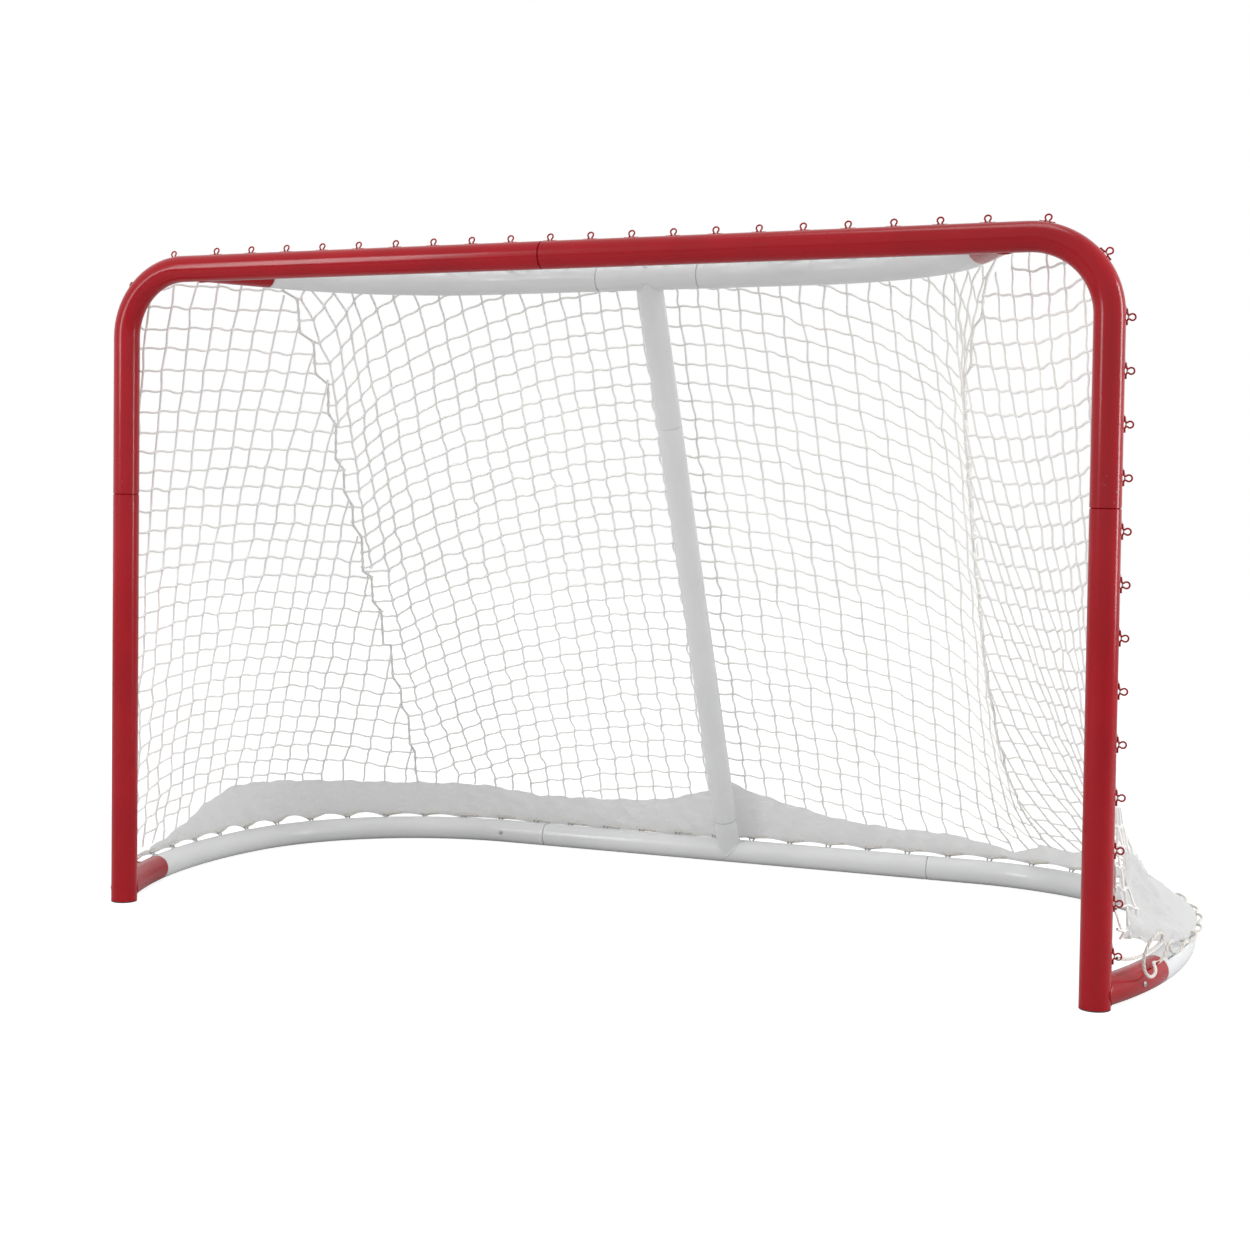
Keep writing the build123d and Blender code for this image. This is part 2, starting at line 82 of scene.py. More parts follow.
camera_at = Vector((1.41828, -3.81660, 0.82668))
camera_yaw, camera_pitch, camera_roll = (math.radians(a) for a in (-23.737, -2.002, -0.701))
forward = Vector((
    math.sin(camera_yaw) * math.cos(camera_pitch),
    math.cos(camera_yaw) * math.cos(camera_pitch),
    math.sin(camera_pitch)))
right = forward.cross(Vector((0, 0, 1))).normalized()
right = Matrix.Rotation(camera_roll, 3, forward) @ right
above = right.cross(forward)
camera = placed("camera", bpy.data.cameras.new("camera"))
camera.data.lens = 58.38
camera.data.sensor_width = 36.0
camera.data.shift_x = 0.068
camera.data.shift_y = -0.052
camera.matrix_world = Matrix((
    (right.x, above.x, -forward.x, camera_at.x),
    (right.y, above.y, -forward.y, camera_at.y),
    (right.z, above.z, -forward.z, camera_at.z),
    (0, 0, 0, 1)))
bpy.context.scene.camera = camera
bpy.context.scene.view_settings.view_transform = "Standard"
print("camera looks along", [round(v, 3) for v in forward])

# %% [markdown]
# ## Node helpers
# A material, a world and a Geometry Nodes tree are all graphs. A few small helpers keep the code
# close to the way a graph reads: each call adds a node and says at once what feeds it.


# %% Helpers that add nodes
def feed(tree, source, socket):
    """Link a socket to another one, or give it a plain value."""
    if isinstance(source, bpy.types.NodeSocket):
        tree.links.new(source, socket)
    else:
        socket.default_value = source


def put(tree, kind, *sources, props=None, **named):
    """A new node. Sources feed its inputs in order, and named ones feed them by label."""
    node = tree.nodes.new(kind)
    for key, value in (props or {}).items():
        setattr(node, key, value)
    for socket, source in zip(node.inputs, sources):
        feed(tree, source, socket)
    for label, source in named.items():
        feed(tree, source, node.inputs[label.replace("_", " ")])
    return node


def calc(tree, operation, *parts):
    """One Math node over numbers and sockets."""
    return put(tree, "ShaderNodeMath", *parts, props={"operation": operation}).outputs[0]


def scaled(tree, value, low, high, to_low=0.0, to_high=1.0):
    """A value stretched from one range to another and held inside it."""
    return put(tree, "ShaderNodeMapRange", value, low, high, to_low, to_high).outputs[0]


def blend(tree, share, first, second, mode="MIX"):
    """Two colours mixed by a share."""
    node = put(tree, "ShaderNodeMix", share, props={"data_type": "RGBA", "blend_type": mode})
    feed(tree, first, node.inputs[6])
    feed(tree, second, node.inputs[7])
    return node.outputs[2]


def noise(tree, scale, detail=3.0, rough=0.5, stretch=(1, 1, 1)):
    """Clouds that are fixed to the piece, because they read its own coordinates."""
    place = put(tree, "ShaderNodeTexCoord").outputs["Object"]
    place = put(tree, "ShaderNodeMapping", place, Scale=stretch).outputs[0]
    texture = put(tree, "ShaderNodeTexNoise", Vector=place, Scale=scale, Detail=detail, Roughness=rough)
    return texture.outputs["Fac"]


# %% Helpers for groups and materials
def new_tree(name, kind, takes, gives):
    """A node group with named sockets: takes are (label, type, value), gives (label, type)."""
    tree = bpy.data.node_groups.new(name, kind)
    for label, socket_kind, value in takes:
        socket = tree.interface.new_socket(
            label, in_out="INPUT", socket_type="NodeSocket" + socket_kind)
        if value is not None:
            socket.default_value = value
    for label, socket_kind in gives:
        tree.interface.new_socket(label, in_out="OUTPUT", socket_type="NodeSocket" + socket_kind)
    return tree, put(tree, "NodeGroupInput").outputs, put(tree, "NodeGroupOutput").inputs


def skin_group(name, gives, **numbers):
    """A shader group that takes two colours and some numbers, and gives a colour and more."""
    takes = [(label, "Color", None) for label in ("Colour", "Deep colour")]
    takes += [(label.replace("_", " "), "Float", value) for label, value in numbers.items()]
    return new_tree(name, "ShaderNodeTree", takes, [("Colour", "Color")] + [
        (label, "Float") for label in gives])


def finish_of(name, **values):
    """A material with one Principled shader, whose plain numbers sit on its own sockets."""
    material = bpy.data.materials.new(name)
    material.use_nodes = True
    shader = material.node_tree.nodes["Principled BSDF"]
    for label, value in values.items():
        shader.inputs[label.replace("_", " ")].default_value = value
    return material, material.node_tree, shader


def bump(tree, shader, height, strength, distance):
    node = put(tree, "ShaderNodeBump", Height=height, Strength=strength, Distance=distance)
    feed(tree, node.outputs[0], shader.inputs["Normal"])


def finish_from(group, name, colour, deep, relief, numbers, **values):
    """A material skinned by a group. Relief is the strength and the depth of its bump."""
    material, tree, shader = finish_of(name, **values)
    skin = put(
        tree, "ShaderNodeGroup", (*colour, 1), (*deep, 1), props={"node_tree": group},
        **numbers).outputs
    feed(tree, skin["Colour"], shader.inputs["Base Color"])
    if "Roughness" in skin:
        feed(tree, skin["Roughness"], shader.inputs["Roughness"])
    bump(tree, shader, skin["Height"], *relief)
    return material


# %% [markdown]
# ## Background
# The goal stands in a white studio. A sky could be one plain colour, but a real studio is paler
# behind the object than above it, so the light of this one falls off from the horizon upwards.
# The camera, the gloss and the glass rays see it as pure white.

# %% Sky
world = bpy.data.worlds.new("studio")
bpy.context.scene.world = world
world.use_nodes = True
sky = world.node_tree
sky.nodes.clear()
rays = put(sky, "ShaderNodeLightPath").outputs
seen = calc(sky, "MAXIMUM", rays["Is Camera Ray"], rays["Is Glossy Ray"])
seen = calc(sky, "MAXIMUM", seen, rays["Is Transmission Ray"])
level_at_horizon, more_behind, less_above = 0.92, 0.10, 0.28
towards = put(sky, "ShaderNodeTexCoord").outputs["Generated"]
slope = put(
    sky, "ShaderNodeVectorMath", towards, (0.0, more_behind, -less_above),
    props={"operation": "DOT_PRODUCT"})
level = calc(sky, "ADD", slope.outputs["Value"], level_at_horizon)
ambient = put(sky, "ShaderNodeBackground", (0.97, 0.98, 1.0, 1), level)
white = put(sky, "ShaderNodeBackground", (1, 1, 1, 1), 1.0)
mix = put(sky, "ShaderNodeMixShader", seen, ambient.outputs[0], white.outputs[0])
put(sky, "ShaderNodeOutputWorld", mix.outputs[0])
print("sky nodes", len(sky.nodes))

# %% [markdown]
# ## Floor
# The floor has to look white and still carry the goal's soft shadow. A glow that only the
# camera sees lifts a darker floor to white, and all other rays meet a plain pale one.

# %% Floor
floor_size, floor_z = 12.0, -0.0005
corners = [(-1, -1), (1, -1), (1, 1), (-1, 1)]
floor_mesh = bpy.data.meshes.new("studio_floor")
floor_mesh.from_pydata(
    [(x * floor_size, y * floor_size, floor_z) for x, y in corners], [], [(0, 1, 2, 3)])
floor = placed("studio_floor", floor_mesh)
floor_paint = bpy.data.materials.new("studio_floor")
floor_paint.use_nodes = True
tree = floor_paint.node_tree
tree.nodes.clear()
rays = put(tree, "ShaderNodeLightPath").outputs
plain = put(tree, "ShaderNodeBsdfDiffuse", (0.62, 0.62, 0.62, 1))
shaded = put(tree, "ShaderNodeBsdfDiffuse", (0.34, 0.34, 0.34, 1))
glow = put(tree, "ShaderNodeEmission", (1, 1, 1, 1), 0.86)
bright = put(tree, "ShaderNodeAddShader", shaded.outputs[0], glow.outputs[0])
mix = put(tree, "ShaderNodeMixShader", rays["Is Camera Ray"], plain.outputs[0], bright.outputs[0])
put(tree, "ShaderNodeOutputMaterial", mix.outputs[0])
floor_mesh.materials.append(floor_paint)
print("floor", 2 * floor_size, "m square")

# %% [markdown]
# ## Lamps
# Small lamps would draw hard lines on gloss paint. Three large softboxes give it broad, calm
# streaks: one overhead, one in front and one beside the right post.


# %% Lamps
def softbox(name, at, aim, size, power):
    lamp = placed(name, bpy.data.lights.new(name, "AREA"))
    lamp.data.shape = "RECTANGLE"
    lamp.data.size, lamp.data.size_y = size
    lamp.data.energy = power
    lamp.location = at
    lamp.rotation_euler = (Vector(aim) - Vector(at)).to_track_quat("-Z", "Y").to_euler()


softbox("overhead", (0.6, -0.8, 8.0), (0, 0, 0.3), (4.0, 3.0), 125)
softbox("front_left", (-2.6, -3.9, 2.2), (0, 0, 0.6), (1.0, 2.2), 72)
softbox("side_right", (4.2, 0.5, 1.6), (0, 0, 0.6), (0.8, 2.4), 80)

# %% [markdown]
# ## Paint
# The tubes are powder-coated: a thick, glossy skin with a faint orange peel. It chips where
# the tubes are knocked together, so a rare patch of bare grey shows near the joints. Red and
# white wear in the same way, so the wear is one group that both paints use.

# %% Coat group
coat, given, made = skin_group(
    "worn_coat", ["Roughness", "Height"], Chip_level=0.8, Joint_height=0.0, Joint_wear=0.0)
joint_reach, chip_edge, bare_metal = 0.10, 0.012, (0.16, 0.15, 0.15, 1)
tone = blend(
    coat, scaled(coat, noise(coat, 6.0, 4.0, 0.55), 0.3, 0.75),
    given["Deep colour"], given["Colour"])
place = put(coat, "ShaderNodeTexCoord").outputs["Object"]
height = put(coat, "ShaderNodeSeparateXYZ", place).outputs[2]
away = calc(coat, "ABSOLUTE", calc(coat, "SUBTRACT", height, given["Joint height"]))
near = scaled(coat, away, 0.0, joint_reach, given["Joint wear"], 0.0)
wear = calc(coat, "ADD", near, noise(coat, 95.0, 5.0, 0.65))
chip_full = calc(coat, "ADD", given["Chip level"], chip_edge)
chips = scaled(coat, wear, given["Chip level"], chip_full)
feed(coat, blend(coat, chips, tone, bare_metal), made["Colour"])
feed(coat, scaled(coat, noise(coat, 14.0), 0.0, 1.0, 0.13, 0.24), made["Roughness"])
feed(coat, noise(coat, 420.0, 2.0), made["Height"])
print("coat group nodes", len(coat.nodes))

# %% Red and white paint
# the joint of the posts stands at 0.85 m, and the paint is chipped more round it
gloss = {"Coat_Weight": 0.06, "Coat_Roughness": 0.10, "Specular_IOR_Level": 0.24}
orange_peel = (0.06, 0.0006)
red_paint = finish_from(
    coat, "red_paint", (0.38, 0.003, 0.010), (0.30, 0.0025, 0.008), orange_peel,
    {"Chip_level": 0.745, "Joint_height": 0.85, "Joint_wear": 0.10}, **gloss)
white_paint = finish_from(
    coat, "white_paint", (0.74, 0.745, 0.745), (0.69, 0.695, 0.695), orange_peel,
    {"Chip_level": 0.80}, **gloss)
print("paints", red_paint.name, white_paint.name)

# %% [markdown]
# ## Wire, screws and plugs
# The small parts are bare: dull zinc on the wire loops, plain steel on the screws and moulded
# plastic in the feet. All three are one colour with darker blotches and a fine grain, so they
# share a group and differ in its values.

# %% Speckle group
speckle, given, made = skin_group(
    "speckle", ["Height"], Blotch_scale=160.0, Grain_scale=900.0, Grain_detail=3.0)
blotches = scaled(speckle, noise(speckle, given["Blotch scale"], 4.0), 0.3, 0.7)
feed(speckle, blend(speckle, blotches, given["Deep colour"], given["Colour"]), made["Colour"])
feed(speckle, noise(speckle, given["Grain scale"], given["Grain detail"]), made["Height"])


# %% Zinc, steel and plastic
def metal(name, colour, rough, grain):
    deep = [c * 0.72 for c in colour]
    return finish_from(
        speckle, name, colour, deep, (0.15, 0.0004), {"Grain_scale": grain}, Metallic=1.0,
        Roughness=rough)


zinc = metal("zinc_wire", (0.52, 0.54, 0.55), 0.36, 900.0)
steel = metal("screw_steel", (0.60, 0.60, 0.61), 0.28, 1400.0)
plug_plastic = finish_from(
    speckle, "foot_plug_plastic", [0.032] * 3, [0.018] * 3, (0.12, 0.0005),
    {"Blotch_scale": 90.0, "Grain_scale": 700.0, "Grain_detail": 2.0}, Roughness=0.55)
print("bare finishes", zinc.name, steel.name, plug_plastic.name)

# %% [markdown]
# ## Twine and rope
# Net and rope are twisted from three plies. Modelled plies would need far too many faces, so
# each strand carries a UV map that runs around and along it, and a slanted wave over that map
# draws the twist, both as a bump and as painted shade that darkens the grooves between plies.
# All twines share this group.

# %% Twist group
twist, given, made = skin_group("twisted_plies_groove_shade", ["Height"], Plies_per_metre=200.0)
plies = 3.0
place = put(twist, "ShaderNodeTexCoord").outputs["UV"]
around, along, _ = put(twist, "ShaderNodeSeparateXYZ", place).outputs
passed = calc(twist, "MULTIPLY", along, given["Plies per metre"])
passed = calc(twist, "MULTIPLY_ADD", around, plies, passed)
crest = calc(twist, "COSINE", calc(twist, "MULTIPLY", passed, 2 * math.pi))
level = scaled(twist, crest, -1.0, 1.0)
# the grooves between the plies take the deep colour: this is painted shade
tone = blend(twist, scaled(twist, level, 0.0, 0.55), given["Deep colour"], given["Colour"])
soil = scaled(twist, noise(twist, 9.0, 5.0, 0.6), 0.25, 0.7, 0.90, 1.0)
feed(twist, blend(twist, 1.0, tone, soil, "MULTIPLY"), made["Colour"])
feed(twist, level, made["Height"])
print("twist group nodes", len(twist.nodes))


# %% Four twines
def twisted(name, colour, deep, plies_per_metre, depth, sheen=0.3):
    return finish_from(
        twist, name, colour, deep, (0.8, depth), {"Plies_per_metre": plies_per_metre},
        Roughness=0.62, Sheen_Weight=sheen, Sheen_Roughness=0.5, Subsurface_Weight=0.15,
        Subsurface_Radius=(0.004, 0.004, 0.003), Subsurface_Scale=0.4)


# the second colour of each twine is the painted shade in the grooves between its plies
net_twine = twisted("net_twine", (0.95, 0.94, 0.91), (0.89, 0.875, 0.84), 240.0, 0.0005)
seam_twine = twisted("seam_twine", (0.92, 0.91, 0.87), (0.84, 0.82, 0.77), 180.0, 0.0009)
lace_twine = twisted("frame_lace_twine", (0.80, 0.70, 0.64), (0.62, 0.52, 0.46), 220.0, 0.0006)
base_rope_cotton = twisted(
    "base_rope_cotton", (0.82, 0.79, 0.73), (0.66, 0.62, 0.56), 110.0, 0.0012, sheen=0.4)
print("twines", net_twine.name, seam_twine.name, lace_twine.name, base_rope_cotton.name)

# %% [markdown]
# ## Skirt cloth
# The skirt is thin white nylon. Light from behind glows through it, so a translucent shader is
# mixed with the plain one. Two crossed waves over its UV map are the weave, and soft clouds are
# the small creases that are too fine to model.

# %% Skirt cloth
skirt_cloth, tree, shader = finish_of(
    "skirt_cloth", Roughness=0.72, Sheen_Weight=0.25, Sheen_Roughness=0.4,
    Specular_IOR_Level=0.3)
threads_per_metre, see_through = 900, 0.30
tone = blend(
    tree, scaled(tree, noise(tree, 7.0, 5.0, 0.55), 0.3, 0.7),
    (0.88, 0.88, 0.875, 1), (0.93, 0.93, 0.92, 1))
feed(tree, tone, shader.inputs["Base Color"])
place = put(tree, "ShaderNodeTexCoord").outputs["UV"]
threads = [
    calc(tree, "SINE", calc(tree, "MULTIPLY", way, 2 * math.pi * threads_per_metre))
    for way in list(put(tree, "ShaderNodeSeparateXYZ", place).outputs)[:2]]
weave = calc(tree, "MULTIPLY", *threads)
clouds = noise(tree, 38.0, 6.0, 0.62, stretch=(1, 1, 1.6))
bump(tree, shader, calc(tree, "MULTIPLY_ADD", weave, 0.02, clouds), 0.9, 0.016)
thin = put(tree, "ShaderNodeBsdfTranslucent", (0.94, 0.94, 0.93, 1))
mix = put(tree, "ShaderNodeMixShader", see_through, shader.outputs[0], thin.outputs[0])
feed(tree, mix.outputs[0], tree.nodes["Material Output"].inputs[0])
print("cloth lets through", see_through)

# %% [markdown]
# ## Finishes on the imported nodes
# The rigid nodes are already in place and only need their paint. Their names say what they are,
# so one rule gives each its finish. The soft nodes are skipped, because new pieces replace them.


# %% Give every rigid node its finish
def finish_for(name):
    if name == "joint_screws":
        return steel
    if name.endswith("foot_plug"):
        return plug_plastic
    if name.endswith("loops"):
        return zinc if name.startswith("base_") else red_paint
    if name.startswith(("shelf_", "base_", "centre_")):
        return white_paint
    return red_paint


soft_names = ("net_", "seam_", "skirt_", "base_lacing", "frame_lacing")
rigid = {name: node for name, node in nodes.items() if not name.startswith(soft_names)}
for name, node in rigid.items():
    node.data.materials.clear()
    node.data.materials.append(finish_for(name))
print("finished", len(rigid), "nodes")

# %% [markdown]
# ## The wall that the net hangs on
# The net is stretched between two outlines: the base below and the rim of the shelf above.
# Both are made of the same three kinds of piece on each side, so a point on one answers to a
# point on the other, and the wall is the straight line between them. Positions are given by a
# distance along the base, from the post, and by a height from 0 at the base to 1 at the rim.
# Above 1 the wall folds over the shelf and runs forward to the crossbar.

# %% Sizes of both outlines
reach = tube_radius + 0.0018
wall_foot = 0.058
wall_height = crossbar_z + reach - wall_foot
base_flare, base_sweep, base_corner_radius = math.radians(24), math.radians(35), 0.470
shelf_entry, shelf_angle, shelf_corner_radius = 0.773, math.radians(25), 0.400


# %% Base and rim
def outline(heading, pieces, steps=300):
    """Arcs and runs from the right post to the middle.

    Each row is the outer point, the centre line's point, the heading and the distance.
    """
    x, y, done, found = post_x, 0.0, 0.0, []
    for length, bend in pieces:
        part = np.linspace(0, length, steps)
        if bend:
            turned = heading + bend * part
            px = x - (np.cos(turned) - math.cos(heading)) / bend
            py = y + (np.sin(turned) - math.sin(heading)) / bend
        else:
            turned = np.full(steps, heading)
            px, py = x + part * math.sin(heading), y + part * math.cos(heading)
        px_out, py_out = px + reach * np.cos(turned), py - reach * np.sin(turned)
        found.append(np.stack([px_out, py_out, px, py, turned, done + part], 1))
        x, y, heading, done = px[-1], py[-1], turned[-1], done + length
    return np.concatenate(found)


side_end = base_flare - base_sweep
side_radius = (base_back - base_corner_radius * (1 + math.sin(side_end))) / (
    math.sin(base_flare) - math.sin(side_end))
base_straight = (
    post_x + side_radius * (math.cos(side_end) - math.cos(base_flare))
    - base_corner_radius * math.cos(side_end))
base_line = outline(base_flare, [
    (side_radius * base_sweep, -1 / side_radius),
    (base_corner_radius * (math.pi / 2 + side_end), -1 / base_corner_radius),
    (base_straight, 0)])

shelf_run = (
    shelf_back - shelf_corner_radius * (1 - math.sin(shelf_angle))) / math.cos(shelf_angle)
shelf_straight = (
    shelf_entry - shelf_run * math.sin(shelf_angle) - shelf_corner_radius * math.cos(shelf_angle))
span_x, span_y = post_x - shelf_straight, shelf_back - shelf_corner_radius
span = math.hypot(span_x, span_y)
rim_turn = math.atan2(span_y, span_x) + math.asin(shelf_corner_radius / span)
rim_run = math.sqrt(span ** 2 - shelf_corner_radius ** 2)
rim_line = outline(rim_turn - math.pi / 2, [
    (rim_run, 0), (shelf_corner_radius * rim_turn, -1 / shelf_corner_radius), (shelf_straight, 0)])
base_length, rim_length = base_line[-1, 5], rim_line[-1, 5]
print("half base", round(base_length, 4), "half rim", round(rim_length, 4))

# %% [markdown]
# ## Seam and sag
# Two cords gather the side panels to the back panel. Each seam starts at the top corner of the
# shelf and drifts back towards the base. The net of the right side is slack, so it bellies
# inwards, most at the seam and not at all at the post.

# %% Seam and sag
net_pitch = 0.042
seam_foot_along, seam_shift = 1.030, 0.640
seam_stride, seam_stepping = 0.068, 0.55


def seam_at(rise):
    """Where along the base the seam stands at a height."""
    return seam_foot_along - seam_shift * np.clip(rise, 0, 1) ** 1.6


def seam_step(rise):
    """The cord runs straight down for two meshes and then steps over to the next column."""
    middle = np.ceil(np.clip(rise, 0, 1) / seam_stride) * seam_stride - seam_stride / 2
    return seam_at(rise) + seam_stepping * (seam_at(middle) - seam_at(rise))


def slack(side, along, rise):
    """How far the net hangs inside the wall. Only the right side net is slack."""
    if side < 0:
        return np.zeros_like(along * rise)
    height = np.clip(rise, 0, 1)
    deepest = 0.190 * (1 - height ** 2) ** 0.85 * (1 - np.exp(-height / 0.09))
    from_post = np.clip(along / seam_at(height), 0, 1) ** 0.8
    past_seam = np.clip(1 - (along - seam_at(height)) / 0.5, 0, 1) ** 2
    return deepest * np.where(along < seam_at(height), from_post, past_seam)


print("seam from", float(seam_at(1)), "at the rim to", float(seam_at(0)), "at the base")

# %% [markdown]
# ## Any point of the wall
# One function turns a place along the base and a height into a point in space. Net, seams and
# skirt all ask it, so they fit each other by themselves.

# %% Points of the wall
back_half_columns = 17
bar_overhang, bar_y, bar_drop, top_dip = 0.048, 0.026, 0.012, 0.012
frame_corner, lid_rise = 0.130, 0.014
back_from = rim_length - back_half_columns * net_pitch


def wall(side, along, rise, clear=0.0):
    """Points of the net's wall on one side, -1 left or 1 right. Clear moves them outwards."""
    along, rise = np.broadcast_arrays(np.asarray(along, float), np.asarray(rise, float))
    order = np.arange(len(base_line))
    place = np.interp(along, base_line[:, 5], order)

    def read(line, column):
        return np.interp(place, order, line[:, column])

    height = np.clip(rise, 0, 1)
    bx, by, rx, ry = (read(line, column) for line in (base_line, rim_line) for column in (0, 1))
    x, y = bx + (rx - bx) * height, by + (ry - by) * height
    angle = read(base_line, 4) * (1 - height) + read(rim_line, 4) * height
    push = clear - slack(side, along, rise)
    x, y = x + push * np.cos(angle), y - push * np.sin(angle)
    z = wall_foot + wall_height * height + np.zeros_like(x)
    # past the fold: forward over the shelf to the crossbar
    rim_at = read(rim_line, 5)
    bar_x = np.where(rim_at > back_from, rim_length - rim_at, rx + bar_overhang * rim_at / back_from)
    ahead_x, ahead_y = bar_x - rx, bar_y - ry
    share = np.clip((rise - 1) * wall_height / np.hypot(ahead_x, ahead_y), 0, 1)
    x, y = x + ahead_x * share, y + ahead_y * share
    z = z - bar_drop * share ** 2 - top_dip * np.sin(math.pi * share)
    # the frame's own round top corners hold the net down
    beyond = np.clip(x - (post_x - frame_corner), 0, frame_corner + reach)
    lid = (frame_corner + lid_rise) ** 2 - beyond ** 2
    lid = crossbar_z - frame_corner + np.sqrt(np.clip(lid, 0.0004, None))
    z = np.where(x > post_x - frame_corner, np.minimum(z, lid), z)
    return np.stack([side * x, y + post_y, z], -1)


def top_end(side, along):
    """The height value at which a column reaches the crossbar."""
    edge, front = wall(side, along, 1.0), wall(side, along, 3.0)
    return 1 + np.linalg.norm(front - edge, axis=-1) / wall_height


print("a column in the middle ends at", round(float(top_end(1, base_length)), 3))

# %% [markdown]
# ## The skirt's upper edge
# The net is sewn to the skirt, so the edge between them has to be known before both. It isn't
# level: the cloth is pulled up at the centre post and at the right post, and bunched down where
# the net pulls on it. Each pair is a distance along the base and a height above the floor.

# %% Skirt edge
edge_left = np.array([
    (0.13, 0.050), (0.215, 0.060), (0.30, 0.070), (0.387, 0.096), (0.45, 0.130), (0.54, 0.160),
    (0.65, 0.157), (0.95, 0.135), (1.18, 0.132), (1.32, 0.116), (1.50, 0.120), (1.62, 0.128),
    (1.70, 0.146), (1.79, 0.178)])
edge_right = np.array([
    (0.045, 0.262), (0.10, 0.255), (0.20, 0.232), (0.30, 0.196), (0.40, 0.158), (0.55, 0.126),
    (0.75, 0.110), (0.98, 0.108), (1.06, 0.112), (1.10, 0.092), (1.16, 0.076), (1.23, 0.094),
    (1.30, 0.104), (1.42, 0.104), (1.54, 0.115), (1.65, 0.142), (1.72, 0.160), (1.79, 0.187)])


def skirt_edge(side, along):
    keys = edge_left if side < 0 else edge_right
    return np.interp(along, keys[:, 0], keys[:, 1])


def skirt_rise(side, along):
    return float((skirt_edge(side, along) - wall_foot) / wall_height)


print("skirt is highest at", edge_left[:, 1].max(), "left and", edge_right[:, 1].max(), "right")

# %% [markdown]
# ## The net
# A hockey net is knotted from one twine into square meshes. Its back and top are one panel,
# its sides are two more, and they are gathered together along two seams. The meshes are not
# even, so a plain grid would look stiff. The knots are placed by rule: columns run from the
# crossbar over the shelf and down, rows run across, and every knot wanders a little.

# %% A lattice of knots and strands
rng = np.random.default_rng(7)


class Lattice:
    """Knots and the strands between them, as plain arrays for the twine tree."""

    def __init__(self):
        self.points, self.strands, self.knots = [], [], []

    def point(self, side, along, rise, loose=0.0, knot=True):
        self.points.append(wall(side, along, rise) + rng.normal(0, 1, 3) * loose)
        if knot:
            self.knots.append(len(self.points) - 1)
        return len(self.points) - 1

    def strand(self, a, b, is_column):
        self.strands.append((a, b, is_column))

    def end(self, knot, side, along, rise, is_column):
        """A strand from a knot to a place where the panel is tied and no knot is."""
        self.strand(knot, self.point(side, along, rise, knot=False), is_column)

    def length(self):
        return sum(np.linalg.norm(self.points[a] - self.points[b]) for a, b, _ in self.strands)


def looseness(rise, along):
    """Knots wander a little, and more at the foot of the post."""
    return 0.0018 + 0.004 * math.exp(-(rise / 0.12) ** 2) * math.exp(-(along / 0.25) ** 2)


# %% Columns and rows of the back
top_row_rise, row_step, row_step_over_shelf = 0.965, 0.0302, 0.0347
foot_column_pitch = 0.045


def rim_to_base(distance):
    """The place along the base that answers to one along the rim."""
    order = np.arange(len(rim_line))
    return np.interp(np.interp(distance, rim_line[:, 5], order), order, base_line[:, 5])


def back_column(index, rise):
    top = rim_to_base(rim_length - net_pitch * index)
    bottom = base_length - foot_column_pitch * index
    share = np.clip((0.97 - rise) / 0.90, 0, 1) ** 0.65
    return float(top + (bottom - top) * share)


def back_row(index, column):
    """Rows droop from the middle to the sides, and most near the rim."""
    level = top_row_rise - (row_step if index >= 0 else row_step_over_shelf) * index
    droop = 0.20 - 0.07 * min(max((0.97 - level) / 0.88, 0), 1)
    return level - droop * (column / back_half_columns) ** 2.1


# %% Columns and rows of the sides
first_side_rise, side_column_pitch = 0.960, 0.056


def side_column(index, rise):
    """Columns bow: they start at the rim, at half height and at the foot in three places."""
    high, middle, low = 0.003 + 0.059 * index, side_column_pitch * index, 0.045 + 0.0500 * index
    u = (rise - 0.5) / 0.4
    value = middle + (high - low) / 2 * u + ((high + low) / 2 - middle) * u * u
    return np.maximum(value, 0.042)


def side_row(side, index, along):
    """Left rows run down into the foot of the post. Right rows sag between post and seam."""
    if index >= 0:
        level = first_side_rise - 0.0340 * index + 0.00012 * index * index
    else:
        level = first_side_rise - row_step_over_shelf * index
    low = min(max((0.60 - level) / 0.45, 0), 1)
    if side < 0:
        level -= 0.085 * low * math.exp(-along / 0.20)
        return level - 0.045 * min(max(1 - level, 0), 1) * ((along - 0.5) / 0.5) ** 2
    from_post = min(along / float(seam_at(level)), 1.2)
    if from_post >= 1:
        return level
    sag = 0.020 * math.sin(math.pi * from_post)
    return level + (0.022 + 0.020 * low) * (1 - from_post) ** 1.5 - sag


def seam_crossing(index, low, high, steps=400):
    """The height at which a side column meets the seam, or None."""
    rise = np.linspace(low, high, steps)
    change = np.nonzero(np.diff(np.sign(side_column(index, rise) - seam_step(rise))))[0]
    return rise[change[0]] if len(change) else None


# %% Back and top panel
seam_ends = {-1: [], 1: []}
seam_margin, rim_margin, hem_margin, longest_foot = 0.014, 0.010, 0.012, 0.06


def place_back_knots(back, top):
    """Each knot as (panel, number, side, along, rise), by its row and column."""
    found = {}
    for side in (-1, 1):
        for column in range(0 if side < 0 else 1, 20):
            end = top_end(side, back_column(column, 1.0)) - rim_margin
            for row in range(-14, 33):
                rise = back_row(row, column)
                along = back_column(column, rise)
                low = skirt_rise(side, along) + hem_margin
                if low <= rise <= end and along >= seam_at(rise) + seam_margin:
                    panel = top if rise > 1.0 else back
                    number = panel.point(side, along, rise, looseness(rise, along))
                    found[(row, side * column)] = (panel, number, side, along, rise)
    return found


